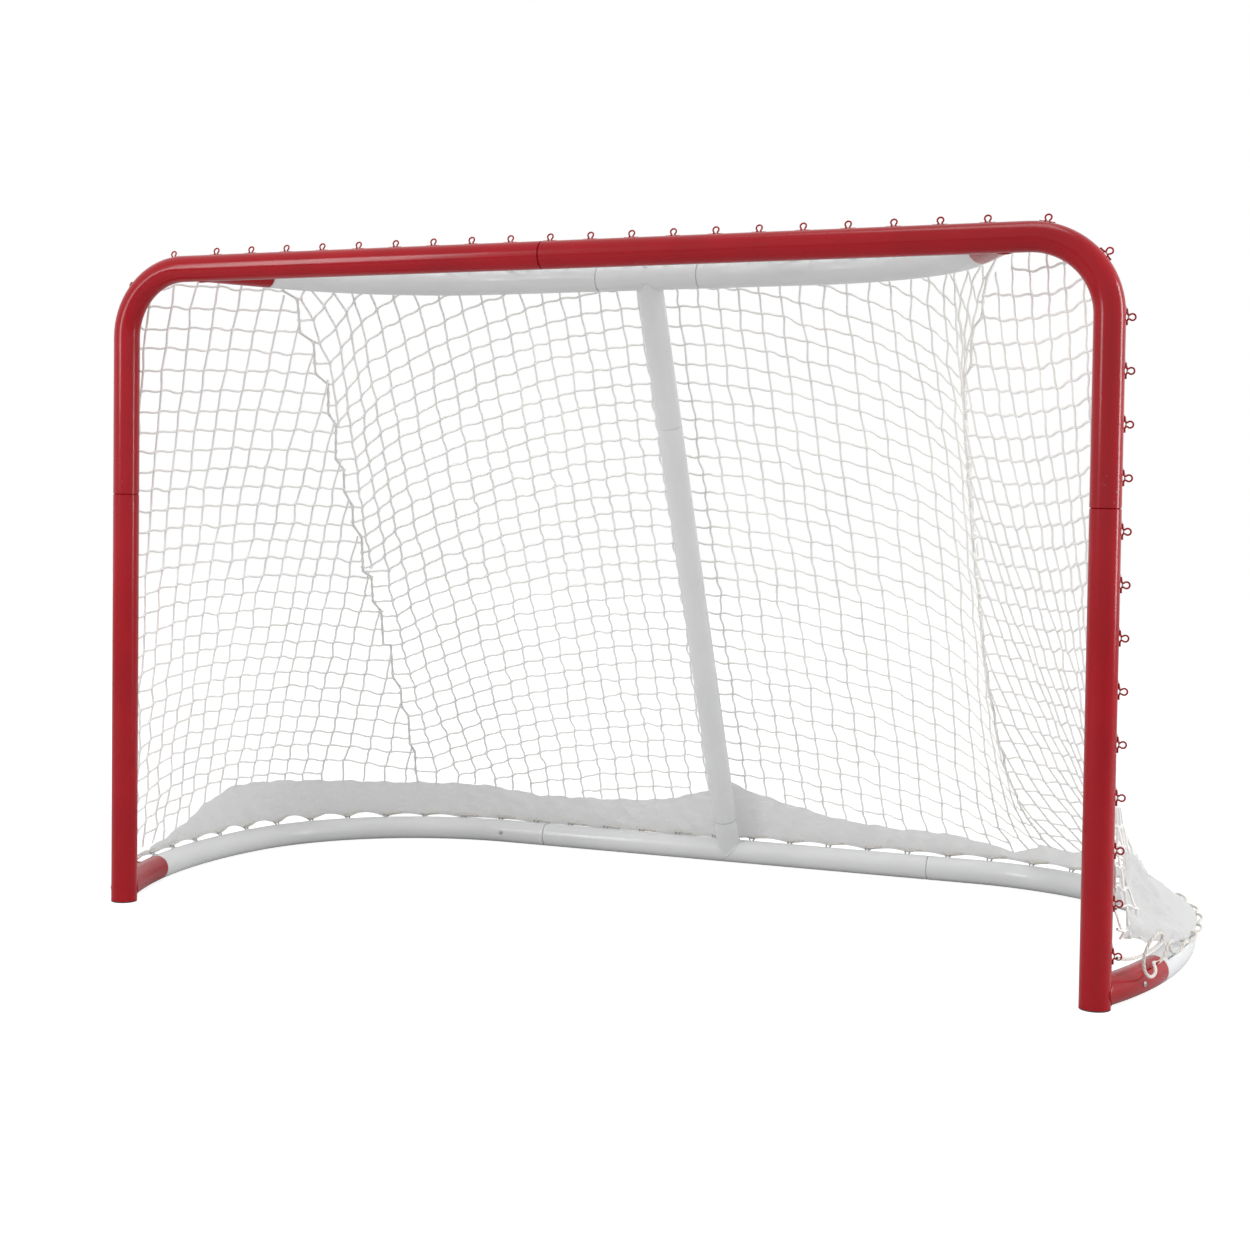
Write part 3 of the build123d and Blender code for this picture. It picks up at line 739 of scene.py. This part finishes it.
def back_and_top():
    """Both halves of the middle panel, as a back lattice and a top lattice."""
    back, top = Lattice(), Lattice()
    found = place_back_knots(back, top)
    for (row, column), (panel, knot, side, along, rise) in found.items():
        for step in ((row, column + 1), (row + 1, column)):
            if step not in found:
                continue
            other, far = found[step][:2]
            if other is not panel:
                # the two lattices share no points, so the far end is copied over
                panel.points.append(other.points[far].copy())
                far = len(panel.points) - 1
            panel.strand(knot, far, step[0] != row)
        outward = (row, column + side)
        if column and outward not in found and rise < 1.15 and abs(column) > 12:
            at_seam = float(seam_step(rise))
            if along - at_seam < 0.075:
                panel.end(knot, side, at_seam, rise, False)
                seam_ends[side].append((rise, at_seam))
        foot = skirt_rise(side, along)
        if (row + 1, column) not in found and rise - foot < longest_foot:
            panel.end(knot, side, along, foot, True)
        if (row - 1, column) not in found and rise > 1.0:
            meet = float(top_end(side, back_column(abs(column), 1.0)))
            panel.end(knot, side, along, meet, True)
    return back, top


# %% Side panels
def place_side_knots(lattice, side):
    """Each knot as (number, along, rise), by its row and column."""
    found = {}
    for column in range(0, 22):
        for row in range(-6, 36):
            along = side_column_pitch * column
            # rows and columns both bend, so their crossing is found by a few rounds
            for _ in range(6):
                rise = float(side_row(side, row, along))
                along = float(side_column(column, rise))
                if side > 0:
                    at_foot = math.exp(-(rise / 0.13) ** 2) * math.exp(-along / 0.22)
                    along *= 1 - 0.35 * at_foot
            if rise > top_end(side, along) - rim_margin or along > seam_at(rise) - seam_margin:
                continue
            before_cloth = side > 0 and along < 0.15 and rise > 0.045
            if before_cloth or rise >= max(skirt_rise(side, along) + hem_margin, 0.02):
                number = lattice.point(side, along, rise, looseness(rise, along))
                found[(row, column)] = (number, along, rise)
    return found


def side_panel(side):
    lattice = Lattice()
    found = place_side_knots(lattice, side)
    for (row, column), (knot, along, rise) in found.items():
        foot = skirt_rise(side, along)
        if (row, column + 1) in found:
            lattice.strand(knot, found[(row, column + 1)][0], False)
        elif rise < 1.12:
            at_seam = float(seam_step(rise))
            if at_seam - along < 0.085:
                lattice.end(knot, side, at_seam, rise, False)
                seam_ends[side].append((rise, at_seam))
        if (row + 1, column) in found:
            lattice.strand(knot, found[(row + 1, column)][0], True)
        elif rise - foot < longest_foot:
            lattice.end(knot, side, along, min(max(foot, 0.01), rise - 0.015), True)
        if (row - 1, column) not in found and rise > 0.05:
            meet = seam_crossing(column, rise, min(rise + 0.1, 1.0))
            if meet is not None:
                lattice.end(knot, side, float(side_column(column, meet)), meet, True)
            elif rise > 0.9:
                lattice.end(knot, side, along, float(top_end(side, along)), True)
        if column == 0:
            lattice.end(knot, side, 0.030, rise, False)
    return lattice


# %% Place all knots
back_lattice, top_lattice = back_and_top()
side_lattices = {side: side_panel(side) for side in (-1, 1)}
panels = {
    "back": back_lattice, "top": top_lattice, "left": side_lattices[-1],
    "right": side_lattices[1]}
for label, lattice in panels.items():
    counts = len(lattice.knots), "strands", len(lattice.strands)
    print(label, "knots", *counts, "twine", round(lattice.length(), 1), "m")

# %% [markdown]
# ## The twine tree
# A Geometry Nodes tree turns the strands into twine: each becomes a short curve with a wave in
# it, a round section is swept along it, and a lump of a knot is set on every crossing. The
# tree makes thousands of knots from one small ball, turned and squashed by chance.


# %% Parts of a tree
def geometry_tree(name, takes):
    shape = ("Geometry", "Geometry", None)
    return new_tree(name, "GeometryNodeTree", [shape, *takes], [("Geometry", "Geometry")])


def carried(tree, curve, measure, label):
    """The curve with one of its own measures kept on it, and that measure."""
    source = put(tree, "GeometryNodeSplineParameter")
    keep = put(tree, "GeometryNodeCaptureAttribute", curve, props={"domain": "POINT"})
    keep.capture_items.new("FLOAT", label)
    feed(tree, source.outputs[measure], keep.inputs[1])
    return keep.outputs[0], keep.outputs[1]


def swept(tree, curve, radius, sides):
    """A round section along a curve, with a UV map that runs around and along it."""
    path, along = carried(tree, curve, "Length", "along")
    ring = put(
        tree, "GeometryNodeCurveArc", Resolution=sides + 1, Radius=radius, Start_Angle=0.0,
        Sweep_Angle=2 * math.pi)
    section, around = carried(tree, ring.outputs[0], "Factor", "around")
    solid = put(tree, "GeometryNodeCurveToMesh", Curve=path, Profile_Curve=section, Fill_Caps=False)
    both = put(tree, "ShaderNodeCombineXYZ", around, along)
    kept = {"data_type": "FLOAT2", "domain": "CORNER"}
    store = put(
        tree, "GeometryNodeStoreNamedAttribute", props=kept, Geometry=solid.outputs[0],
        Name="UVMap", Value=both.outputs[0])
    return store.outputs[0]


def close_tree(tree, shape, material, made):
    """Real geometry, smooth and with its material, as the export needs it."""
    whole = put(tree, "GeometryNodeRealizeInstances", shape)
    smooth = put(tree, "GeometryNodeSetShadeSmooth", whole.outputs[0])
    paint = put(tree, "GeometryNodeSetMaterial", Geometry=smooth.outputs[0], Material=material)
    feed(tree, paint.outputs[0], made[0])


# %% Twine tree
twine_tree, given, made = geometry_tree("knotted_twine", [
    ("Twine radius", "Float", 0.0015), ("Knot radius", "Float", 0.003),
    ("Segments", "Int", 5), ("Seed", "Int", 3), ("Material", "Material", None)])
strands = put(twine_tree, "GeometryNodeMeshToCurve", given["Geometry"])
fine = put(
    twine_tree, "GeometryNodeResampleCurve", props={"mode": "COUNT"}, Curve=strands.outputs[0],
    Count=given["Segments"])
lean = put(
    twine_tree, "GeometryNodeInputNamedAttribute", props={"data_type": "FLOAT_VECTOR"},
    Name="lean").outputs["Attribute"]
step = put(twine_tree, "GeometryNodeSplineParameter").outputs["Factor"]
swing = calc(twine_tree, "SINE", calc(twine_tree, "MULTIPLY", step, 2 * math.pi))
offset = put(twine_tree, "ShaderNodeVectorMath", lean, props={"operation": "SCALE"}, Scale=swing)
wave = put(twine_tree, "GeometryNodeSetPosition", Geometry=fine.outputs[0], Offset=offset.outputs[0])
twine = swept(twine_tree, wave.outputs[0], given["Twine radius"], 6)

# %% Knots of the twine tree
is_knot = put(
    twine_tree, "GeometryNodeInputNamedAttribute", props={"data_type": "BOOLEAN"},
    Name="knot").outputs["Attribute"]
crossings = put(twine_tree, "GeometryNodeMeshToPoints", Mesh=given["Geometry"], Selection=is_knot)
lump = put(twine_tree, "GeometryNodeMeshIcoSphere", Radius=given["Knot radius"], Subdivisions=1)
full_turn = 6.28
spin, squash = (
    put(
        twine_tree, "FunctionNodeRandomValue", least, most, props={"data_type": "FLOAT_VECTOR"},
        Seed=given["Seed"]).outputs[0]
    for least, most in (
        ((0, 0, 0), (full_turn, full_turn, full_turn)), ((0.75, 0.70, 0.9), (1.0, 0.95, 1.35))))
tied = put(
    twine_tree, "GeometryNodeInstanceOnPoints", Points=crossings.outputs[0],
    Instance=lump.outputs[0], Rotation=spin, Scale=squash)
gather = put(twine_tree, "GeometryNodeJoinGeometry", tied.outputs[0])
feed(twine_tree, twine, gather.inputs[0])
close_tree(twine_tree, gather.outputs[0], given["Material"], made)
print("twine tree nodes", len(twine_tree.nodes))


# %% Grow a piece from a tree
def grow(name, tree, points, edges, settings, leans=None, knots=None):
    """Run a tree over points and edges, and keep what it makes as a plain mesh."""
    mesh = bpy.data.meshes.new(name)
    mesh.from_pydata([tuple(p) for p in points], edges, [])
    if leans is not None:
        mesh.attributes.new("lean", "FLOAT_VECTOR", "POINT").data.foreach_set(
            "vector", np.asarray(leans, np.float32).ravel())
    if knots is not None:
        mesh.attributes.new("knot", "BOOLEAN", "POINT").data.foreach_set("value", list(knots))
    piece = placed(name, mesh)
    modifier = piece.modifiers.new("grow", "NODES")
    modifier.node_group = tree
    for item in tree.interface.items_tree:
        if item.in_out == "INPUT" and item.name in settings:
            modifier[item.identifier] = settings[item.name]
    view = bpy.context.evaluated_depsgraph_get()
    view.update()
    result = bpy.data.meshes.new_from_object(
        piece.evaluated_get(view), preserve_all_data_layers=True, depsgraph=view)
    piece.modifiers.clear()
    piece.data = result
    print(name, "faces", len(result.polygons))
    return piece


def chain(points, closed=False):
    """The edges that join points in a row, or in a ring."""
    count = len(points)
    return [(i, (i + 1) % count) for i in range(count if closed else count - 1)]


def run_length(points):
    """The length of a line through points, in metres."""
    steps = np.diff(np.array([tuple(p) for p in points]), axis=0)
    return round(float(np.linalg.norm(steps, axis=1).sum()), 2)


def ride(piece, slot, *replaced):
    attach(piece, "root")
    if replaced:
        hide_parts(*replaced)
    return piece


# %% [markdown]
# ## The four net panels
# Every strand gets two points of its own, so that no two strands melt into one curve. It waves
# a millimetre or two to the side, because knotted twine is never quite straight.

# %% Net panels
up = np.array([0, 0, 1.0])


def sideways(start, end, is_column):
    """The direction in which a strand waves: across it and in the plane of the net."""
    along = end - start
    level = start * (1, 1, 0)
    aim = np.cross(up, level) if is_column else up
    across = aim - along * np.dot(aim, along) / max(np.dot(along, along), 1e-9)
    return across / max(np.linalg.norm(across), 1e-6)


def net_piece(name, lattice, replaced, seed):
    points, edges, leans = [], [], []
    chance = np.random.default_rng(seed)
    for a, b, is_column in lattice.strands:
        start, end = lattice.points[a], lattice.points[b]
        short = min(np.linalg.norm(end - start) / net_pitch, 1.0)
        lean = sideways(start, end, is_column) * (0.0010 + 0.0014 * chance.random()) * short
        edges.append((len(points), len(points) + 1))
        points += [start, end]
        leans += [lean, lean]
    knots = [False] * len(points) + [True] * len(lattice.knots)
    points += [lattice.points[i] for i in lattice.knots]
    leans += [np.zeros(3)] * len(lattice.knots)
    piece = grow(name, twine_tree, points, edges, {
        "Twine radius": 0.0023, "Knot radius": 0.0038, "Segments": 6, "Seed": seed,
        "Material": net_twine}, leans, knots)
    return ride(piece, "net_twine", replaced)


for seed, label in enumerate(panels, start=11):
    net_piece(f"net_{label}_twine", panels[label], f"net_{label}", seed)

# %% [markdown]
# ## Seams
# A seam is two cords that are threaded through the edge meshes of both panels. They pass every
# strand's end, so their path is those ends in order, and the two cords swap sides at each.


# %% Seams
def seam_piece(name, side, replaced, seed):
    ends = sorted(set(seam_ends[side]), reverse=True)
    at_rim = float(seam_at(1))
    line = [wall(side, at_rim, top_end(side, at_rim), 0.002)]
    line += [wall(side, along, rise, 0.001) for rise, along in ends]
    foot = skirt_rise(side, seam_at(ends[-1][0]))
    line.append(wall(side, seam_at(foot), foot))
    print(name, "two cords of", run_length(line), "m")
    points, edges = [], []
    for apart in (-0.0010, 0.0010):
        start = len(points)
        aside = np.array([apart, apart, 0])
        points += [p + aside * (1 if i % 2 else -1) for i, p in enumerate(line)]
        edges += [(start + a, start + b) for a, b in chain(line)]
    leans = [np.zeros(3)] * len(points)
    piece = grow(name, twine_tree, points, edges, {
        "Twine radius": 0.0022, "Knot radius": 0.0036, "Segments": 5 * len(line), "Seed": seed,
        "Material": seam_twine}, leans, [i % 2 == 0 for i in range(len(points))])
    return ride(piece, "net_twine", replaced)


seam_piece("seam_left_twine", -1, "seam_cord_left", 21)
seam_piece("seam_right_twine", 1, "seam_cord_right", 22)

# %% [markdown]
# ## The hem and its loops
# The skirt is laced to wire loops that stand on the base. Between two loops the hem lifts a
# little, most along the left side, where the net pulls hardest.

# %% Loops and hem
loop_first, loop_count = 0.163, 19
loop_pitch = (base_length - loop_first) / (loop_count - 0.5)
eye_out, eye_rise = 0.0251, 0.0505


def base_point(side, along, out, z):
    """A point beside the base tube's centre line, out from it and at a height."""
    x, y, angle = (np.interp(along, base_line[:, 5], base_line[:, k]) for k in (2, 3, 4))
    return np.array([side * (x + out * math.cos(angle)), y - out * math.sin(angle) + post_y, z])


def hem_height(side, along):
    beat = abs(math.sin(math.pi * (along - loop_first) / loop_pitch)) ** 0.8
    uneven = 0.0012 * math.sin(37 * along)
    if side < 0:
        return 0.0455 + (0.001 + 0.015 * math.exp(-((along - 0.72) / 0.34) ** 2)) * beat + uneven
    return 0.0480 + 0.006 * beat + uneven + 0.062 * math.exp(-(along / 0.21) ** 2)


print("loops every", round(loop_pitch, 4), "m")

# %% [markdown]
# ## The skirt
# A band of white nylon is sewn to the lowest row of the net. A cloth simulation would need the
# lacing's pull to be right. The folds are few and their directions are known, so the band is
# drawn as a grid between hem and edge and pushed out by ripples: creases that run at random,
# and at the right post a fan of folds that spreads from the first loop to the raised corner.


# %% Folds
def ripple(along, rise, seed):
    """A few slanted folds, sharp on one side and round on the other."""
    chance = np.random.default_rng(seed)
    total = np.zeros_like(along)
    for wave in (23, 41, 67, 105, 160, 230):
        slope, phase = chance.uniform(-16, 16), chance.uniform(0, 6.28)
        bend = phase + 1.8 * np.sin(5 * along + phase)
        crease = np.sin(wave * along + slope * rise * 10 + bend)
        total += (1 - 2 * np.abs(crease)) / wave ** 0.62
    return total


def right_wing(along, z):
    """How far the raised corner is drawn back from the post, and its fan of folds."""
    drawn = 0.58 * np.clip(z - 0.11, 0, None) * math.exp(-(along - 0.056) / 0.16)
    fan = np.arctan2(z - 0.05, np.maximum(0.42 - along - drawn, 0.04))
    fade = np.clip((0.40 - along) / 0.12, 0, 1)
    return drawn, 0.010 * (1 - 2 * np.abs(np.sin(10 * fan + 0.8))) * fade


# %% Skirt pieces
cloth_step, cloth_rows = 0.006, 15


def skirt_column(side, along, seed):
    """One column of the cloth from hem to edge, and the height of each of its points."""
    share = np.linspace(0, 1, cloth_rows)
    hem = hem_height(side, along)
    fray = 0.0016 * math.sin(75 * along) + 0.0008 * math.sin(161 * along)
    edge = max(float(skirt_edge(side, along)) + fray, hem + 0.004)
    z = hem + (edge - hem) * share
    rise = (z - wall_foot) / wall_height
    place = np.full(cloth_rows, along)
    folds = 0.024 * ripple(place, rise, seed) * (0.25 + share * (1 - share))
    billow = 0.004 * np.sin(math.pi * share) + folds
    if side > 0:
        drawn, fan = right_wing(along, z)
        place, billow = place + drawn, billow + fan
    position = wall(side, place, rise, billow)
    position[:, 2] = z
    return position, z - hem


def skirt_piece(name, halves, replaced, seed):
    """Halves are (side, start, end) in the order in which the cloth runs."""
    grid, heights = [], []
    for side, start, end in halves:
        for along in np.linspace(start, end, int(abs(end - start) / cloth_step) + 1):
            position, height = skirt_column(side, along, seed)
            grid.append(position)
            heights.append(height)
    middle = np.array([column[cloth_rows // 2] for column in grid])
    runs = np.concatenate([[0.0], np.cumsum(np.linalg.norm(np.diff(middle, axis=0), axis=1))])
    faces = [
        (a, a + cloth_rows, a + cloth_rows + 1, a + 1)
        for i in range(len(grid) - 1)
        for a in range(i * cloth_rows, (i + 1) * cloth_rows - 1)]
    mesh = bpy.data.meshes.new(name)
    mesh.from_pydata([tuple(p) for p in np.concatenate(grid)], [], faces)
    flat = [
        (runs[v // cloth_rows], heights[v // cloth_rows][v % cloth_rows])
        for face in faces for v in face]
    uv = mesh.uv_layers.new(name="UVMap")
    uv.data.foreach_set("uv", np.asarray(flat, np.float32).ravel())
    mesh.materials.append(skirt_cloth)
    mesh.polygons.foreach_set("use_smooth", [True] * len(mesh.polygons))
    piece = placed(name, mesh)
    ride(piece, "skirt_cloth", replaced)
    return piece


seam_foot = float(seam_at(0.08))
cloth_seed = 31
skirt_piece("skirt_left_cloth", [(-1, 0.145, seam_foot)], "skirt_left", cloth_seed)
skirt_piece(
    "skirt_back_cloth", [(-1, seam_foot, base_length), (1, base_length, seam_foot)],
    "skirt_back", cloth_seed)
skirt_piece("skirt_right_cloth", [(1, seam_foot, 0.056)], "skirt_right", cloth_seed)

# %% [markdown]
# ## The rope tree
# Lacing is one long soft line through a few chosen places. A NURBS curve near them bends as
# rope does, and a second tree sweeps a round section along it at even steps.

# %% Rope tree
rope_tree, given, made = geometry_tree("laced_rope", [
    ("Rope radius", "Float", 0.0025), ("Spacing", "Float", 0.003), ("Material", "Material", None)])
line = put(rope_tree, "GeometryNodeMeshToCurve", given["Geometry"])
spline = put(
    rope_tree, "GeometryNodeCurveSplineType", props={"spline_type": "NURBS"},
    Curve=line.outputs[0])
fine = put(
    rope_tree, "GeometryNodeResampleCurve", props={"mode": "LENGTH"}, Curve=spline.outputs[0],
    Length=given["Spacing"])
tube = swept(rope_tree, fine.outputs[0], given["Rope radius"], 8)
close_tree(rope_tree, tube, given["Material"], made)
print("rope tree nodes", len(rope_tree.nodes))


def rope_piece(name, points, radius, spacing, material, closed=False):
    print(name, "length", run_length(points), "m")
    return grow(name, rope_tree, points, chain(points, closed), {
        "Rope radius": radius, "Spacing": spacing, "Material": material})

# %% [markdown]
# ## Base rope
# A cotton rope zigzags from each eye on the base up through the hem and down to the next eye.
# Its right end winds round the loop on the stub, hangs in a bight and ends at the lowest loop
# of the post.

# %% Base rope
# shares of the way to the next eye, with distances out from the tube
rope_swag = ((0.30, 0.0225), (0.42, 0.033), (0.62, 0.036), (0.80, 0.036))
# distances along the base and out from the tube, with heights
loose_end = [
    (0.140, 0.036, 0.045), (0.115, 0.038, 0.036), (0.090, 0.038, 0.048), (0.076, 0.040, 0.072),
    (0.084, 0.044, 0.098), (0.108, 0.048, 0.116), (0.134, 0.048, 0.111), (0.134, 0.046, 0.096),
    (0.104, 0.042, 0.086), (0.072, 0.038, 0.080), (0.045, 0.032, 0.078), (0.020, 0.026, 0.084)]


def base_rope():
    points, chance = [], np.random.default_rng(41)
    stops = [(-1, loop_first + loop_pitch * i) for i in range(loop_count)]
    stops += [(1, along) for _, along in reversed(stops)]
    for number, (side, along) in enumerate(stops):
        way = 1 if side < 0 else -1
        step = 0.010 * way
        points += [
            base_point(side, along - step, eye_out + 0.0075, eye_rise + 0.006),
            base_point(side, along, eye_out, eye_rise),
            base_point(side, along + step, eye_out - 0.0045, eye_rise + 0.006)]
        if number < len(stops) - 1:
            for share, out in rope_swag:
                there = along + loop_pitch * share * way
                lift = hem_height(side, there) + 0.002 + 0.003 * chance.random()
                points.append(base_point(side, there, out, lift))
    points += [base_point(1, *place) for place in loose_end]
    piece = rope_piece("base_rope", points, 0.0028, 0.0035, base_rope_cotton)
    return ride(piece, "lacing_rope", "base_lacing")


base_rope()

# %% [markdown]
# ## Frame lacing
# A thinner twine ties the front edge of the net to the loops on posts and crossbar. It passes
# through each loop and swings back behind the tube between two of them. Places are given by a
# distance along the frame, from the left foot over the top to the right foot.

# %% Along the frame
post_run = crossbar_z - frame_corner
arc_run = frame_corner * math.pi / 2
half_frame = post_run + arc_run + post_x - frame_corner


def frame_point(distance, out, back):
    """A point out from the frame's centre line and behind it."""
    side = -1 if distance <= half_frame else 1
    d = min(distance, 2 * half_frame - distance)
    if d < post_run:
        x, z = -post_x - out, d
    elif d < post_run + arc_run:
        a = (d - post_run) / frame_corner
        x = -post_x + frame_corner - (frame_corner + out) * math.cos(a)
        z = post_run + (frame_corner + out) * math.sin(a)
    else:
        x, z = -post_x + frame_corner + (d - post_run - arc_run), crossbar_z + out
    return np.array([-side * x, post_y + back, z])


def frame_loops():
    """Distances of the loops: thirteen up a post, two round the corner, ten on the crossbar."""
    posts = [0.086 + 0.0855 * i for i in range(13)]
    bar = sorted(half_frame - 0.078 * (i + 0.5) for i in range(10))
    gap = (bar[0] - posts[-1]) / 3
    half = posts + [posts[-1] + gap, posts[-1] + 2 * gap] + bar
    return half + [2 * half_frame - d for d in reversed(half)]


print("half frame", round(half_frame, 4), "loops", len(frame_loops()))

# %% Frame lacing
# shares of the way to the next loop, with distances out and behind
lace_swag = ((0.2, 0.018, 0.026), (0.45, 0.010, 0.031), (0.7, 0.018, 0.026), (0.88, 0.025, 0.017))


def frame_lace():
    points, stops = [], frame_loops()
    for at, following in zip(stops, stops[1:] + [None]):
        points.append(frame_point(at - 0.004, 0.0285, 0.008))
        points.append(frame_point(at + 0.004, 0.0270, 0.017))
        if following is not None:
            points += [
                frame_point(at + (following - at) * share, out, back)
                for share, out, back in lace_swag]
    piece = rope_piece("frame_lace", points, 0.0014, 0.005, lace_twine)
    return ride(piece, "lacing_rope", "frame_lacing")


frame_lace()

# %% [markdown]
# ## Welds
# Where one tube ends on another it is cut to a saddle and welded round. The bead follows the
# line in which the two cylinders meet, so it is worked out point by point and swept like a
# rope. It is kept off the floor and under the top of the crossbar.

# %% Weld beads
bead_points, bead_radius = 28, 0.0024
lowest_bead, highest_bead = 0.0028, crossbar_z + tube_radius - 0.0018


def weld(name, at, way, radius, host_way, paint, slot):
    """A bead round a tube that leaves a host tube at a point, by where its surface meets it."""
    way, host_way = Vector(way).normalized(), Vector(host_way).normalized()
    flat = way.cross(host_way).normalized()
    upright = way.cross(flat)
    step = way - host_way * way.dot(host_way)
    points = []
    for turn in np.linspace(0, 2 * math.pi, bead_points, endpoint=False):
        rim = (flat * math.cos(turn) + upright * math.sin(turn)) * radius
        start = rim - host_way * rim.dot(host_way)
        miss = start.length_squared - tube_radius ** 2
        inside = step.dot(start) ** 2 - step.length_squared * miss
        far = (math.sqrt(max(inside, 0)) - step.dot(start)) / step.length_squared
        spot = Vector(at) + rim + way * (far + 0.0006 + 0.0004 * math.sin(9 * turn))
        spot.z = min(max(spot.z, lowest_bead), highest_bead)
        points.append(spot)
    return ride(rope_piece(name, points, bead_radius, 0.003, paint, closed=True), slot)


post_foot = Vector((0, base_back + post_y, tube_radius))
post_head = Vector((0, shelf_back + post_y, crossbar_z))
socket_low, socket_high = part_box("centre_post_socket")
centre_radius = (socket_high.x - socket_low.x) / 2
for side, label in ((-1, "left"), (1, "right")):
    base_way = (side * math.sin(base_flare), math.cos(base_flare), 0)
    shelf_way = (-side * math.sin(shelf_angle), math.cos(shelf_angle), 0)
    weld(f"weld_{label}_base", (side * post_x, post_y, tube_radius), base_way,
         tube_radius, (0, 0, 1), red_paint, "red_paint")
    weld(f"weld_{label}_shelf", (side * shelf_entry, post_y, crossbar_z), shelf_way,
         tube_radius, (1, 0, 0), red_paint, "red_paint")
weld("weld_post_foot", post_foot, post_head - post_foot, centre_radius, (1, 0, 0),
     white_paint, "white_paint")
weld("weld_post_head", post_head, post_foot - post_head, centre_radius, (1, 0, 0),
     white_paint, "white_paint")
print("centre post radius", round(centre_radius, 4))
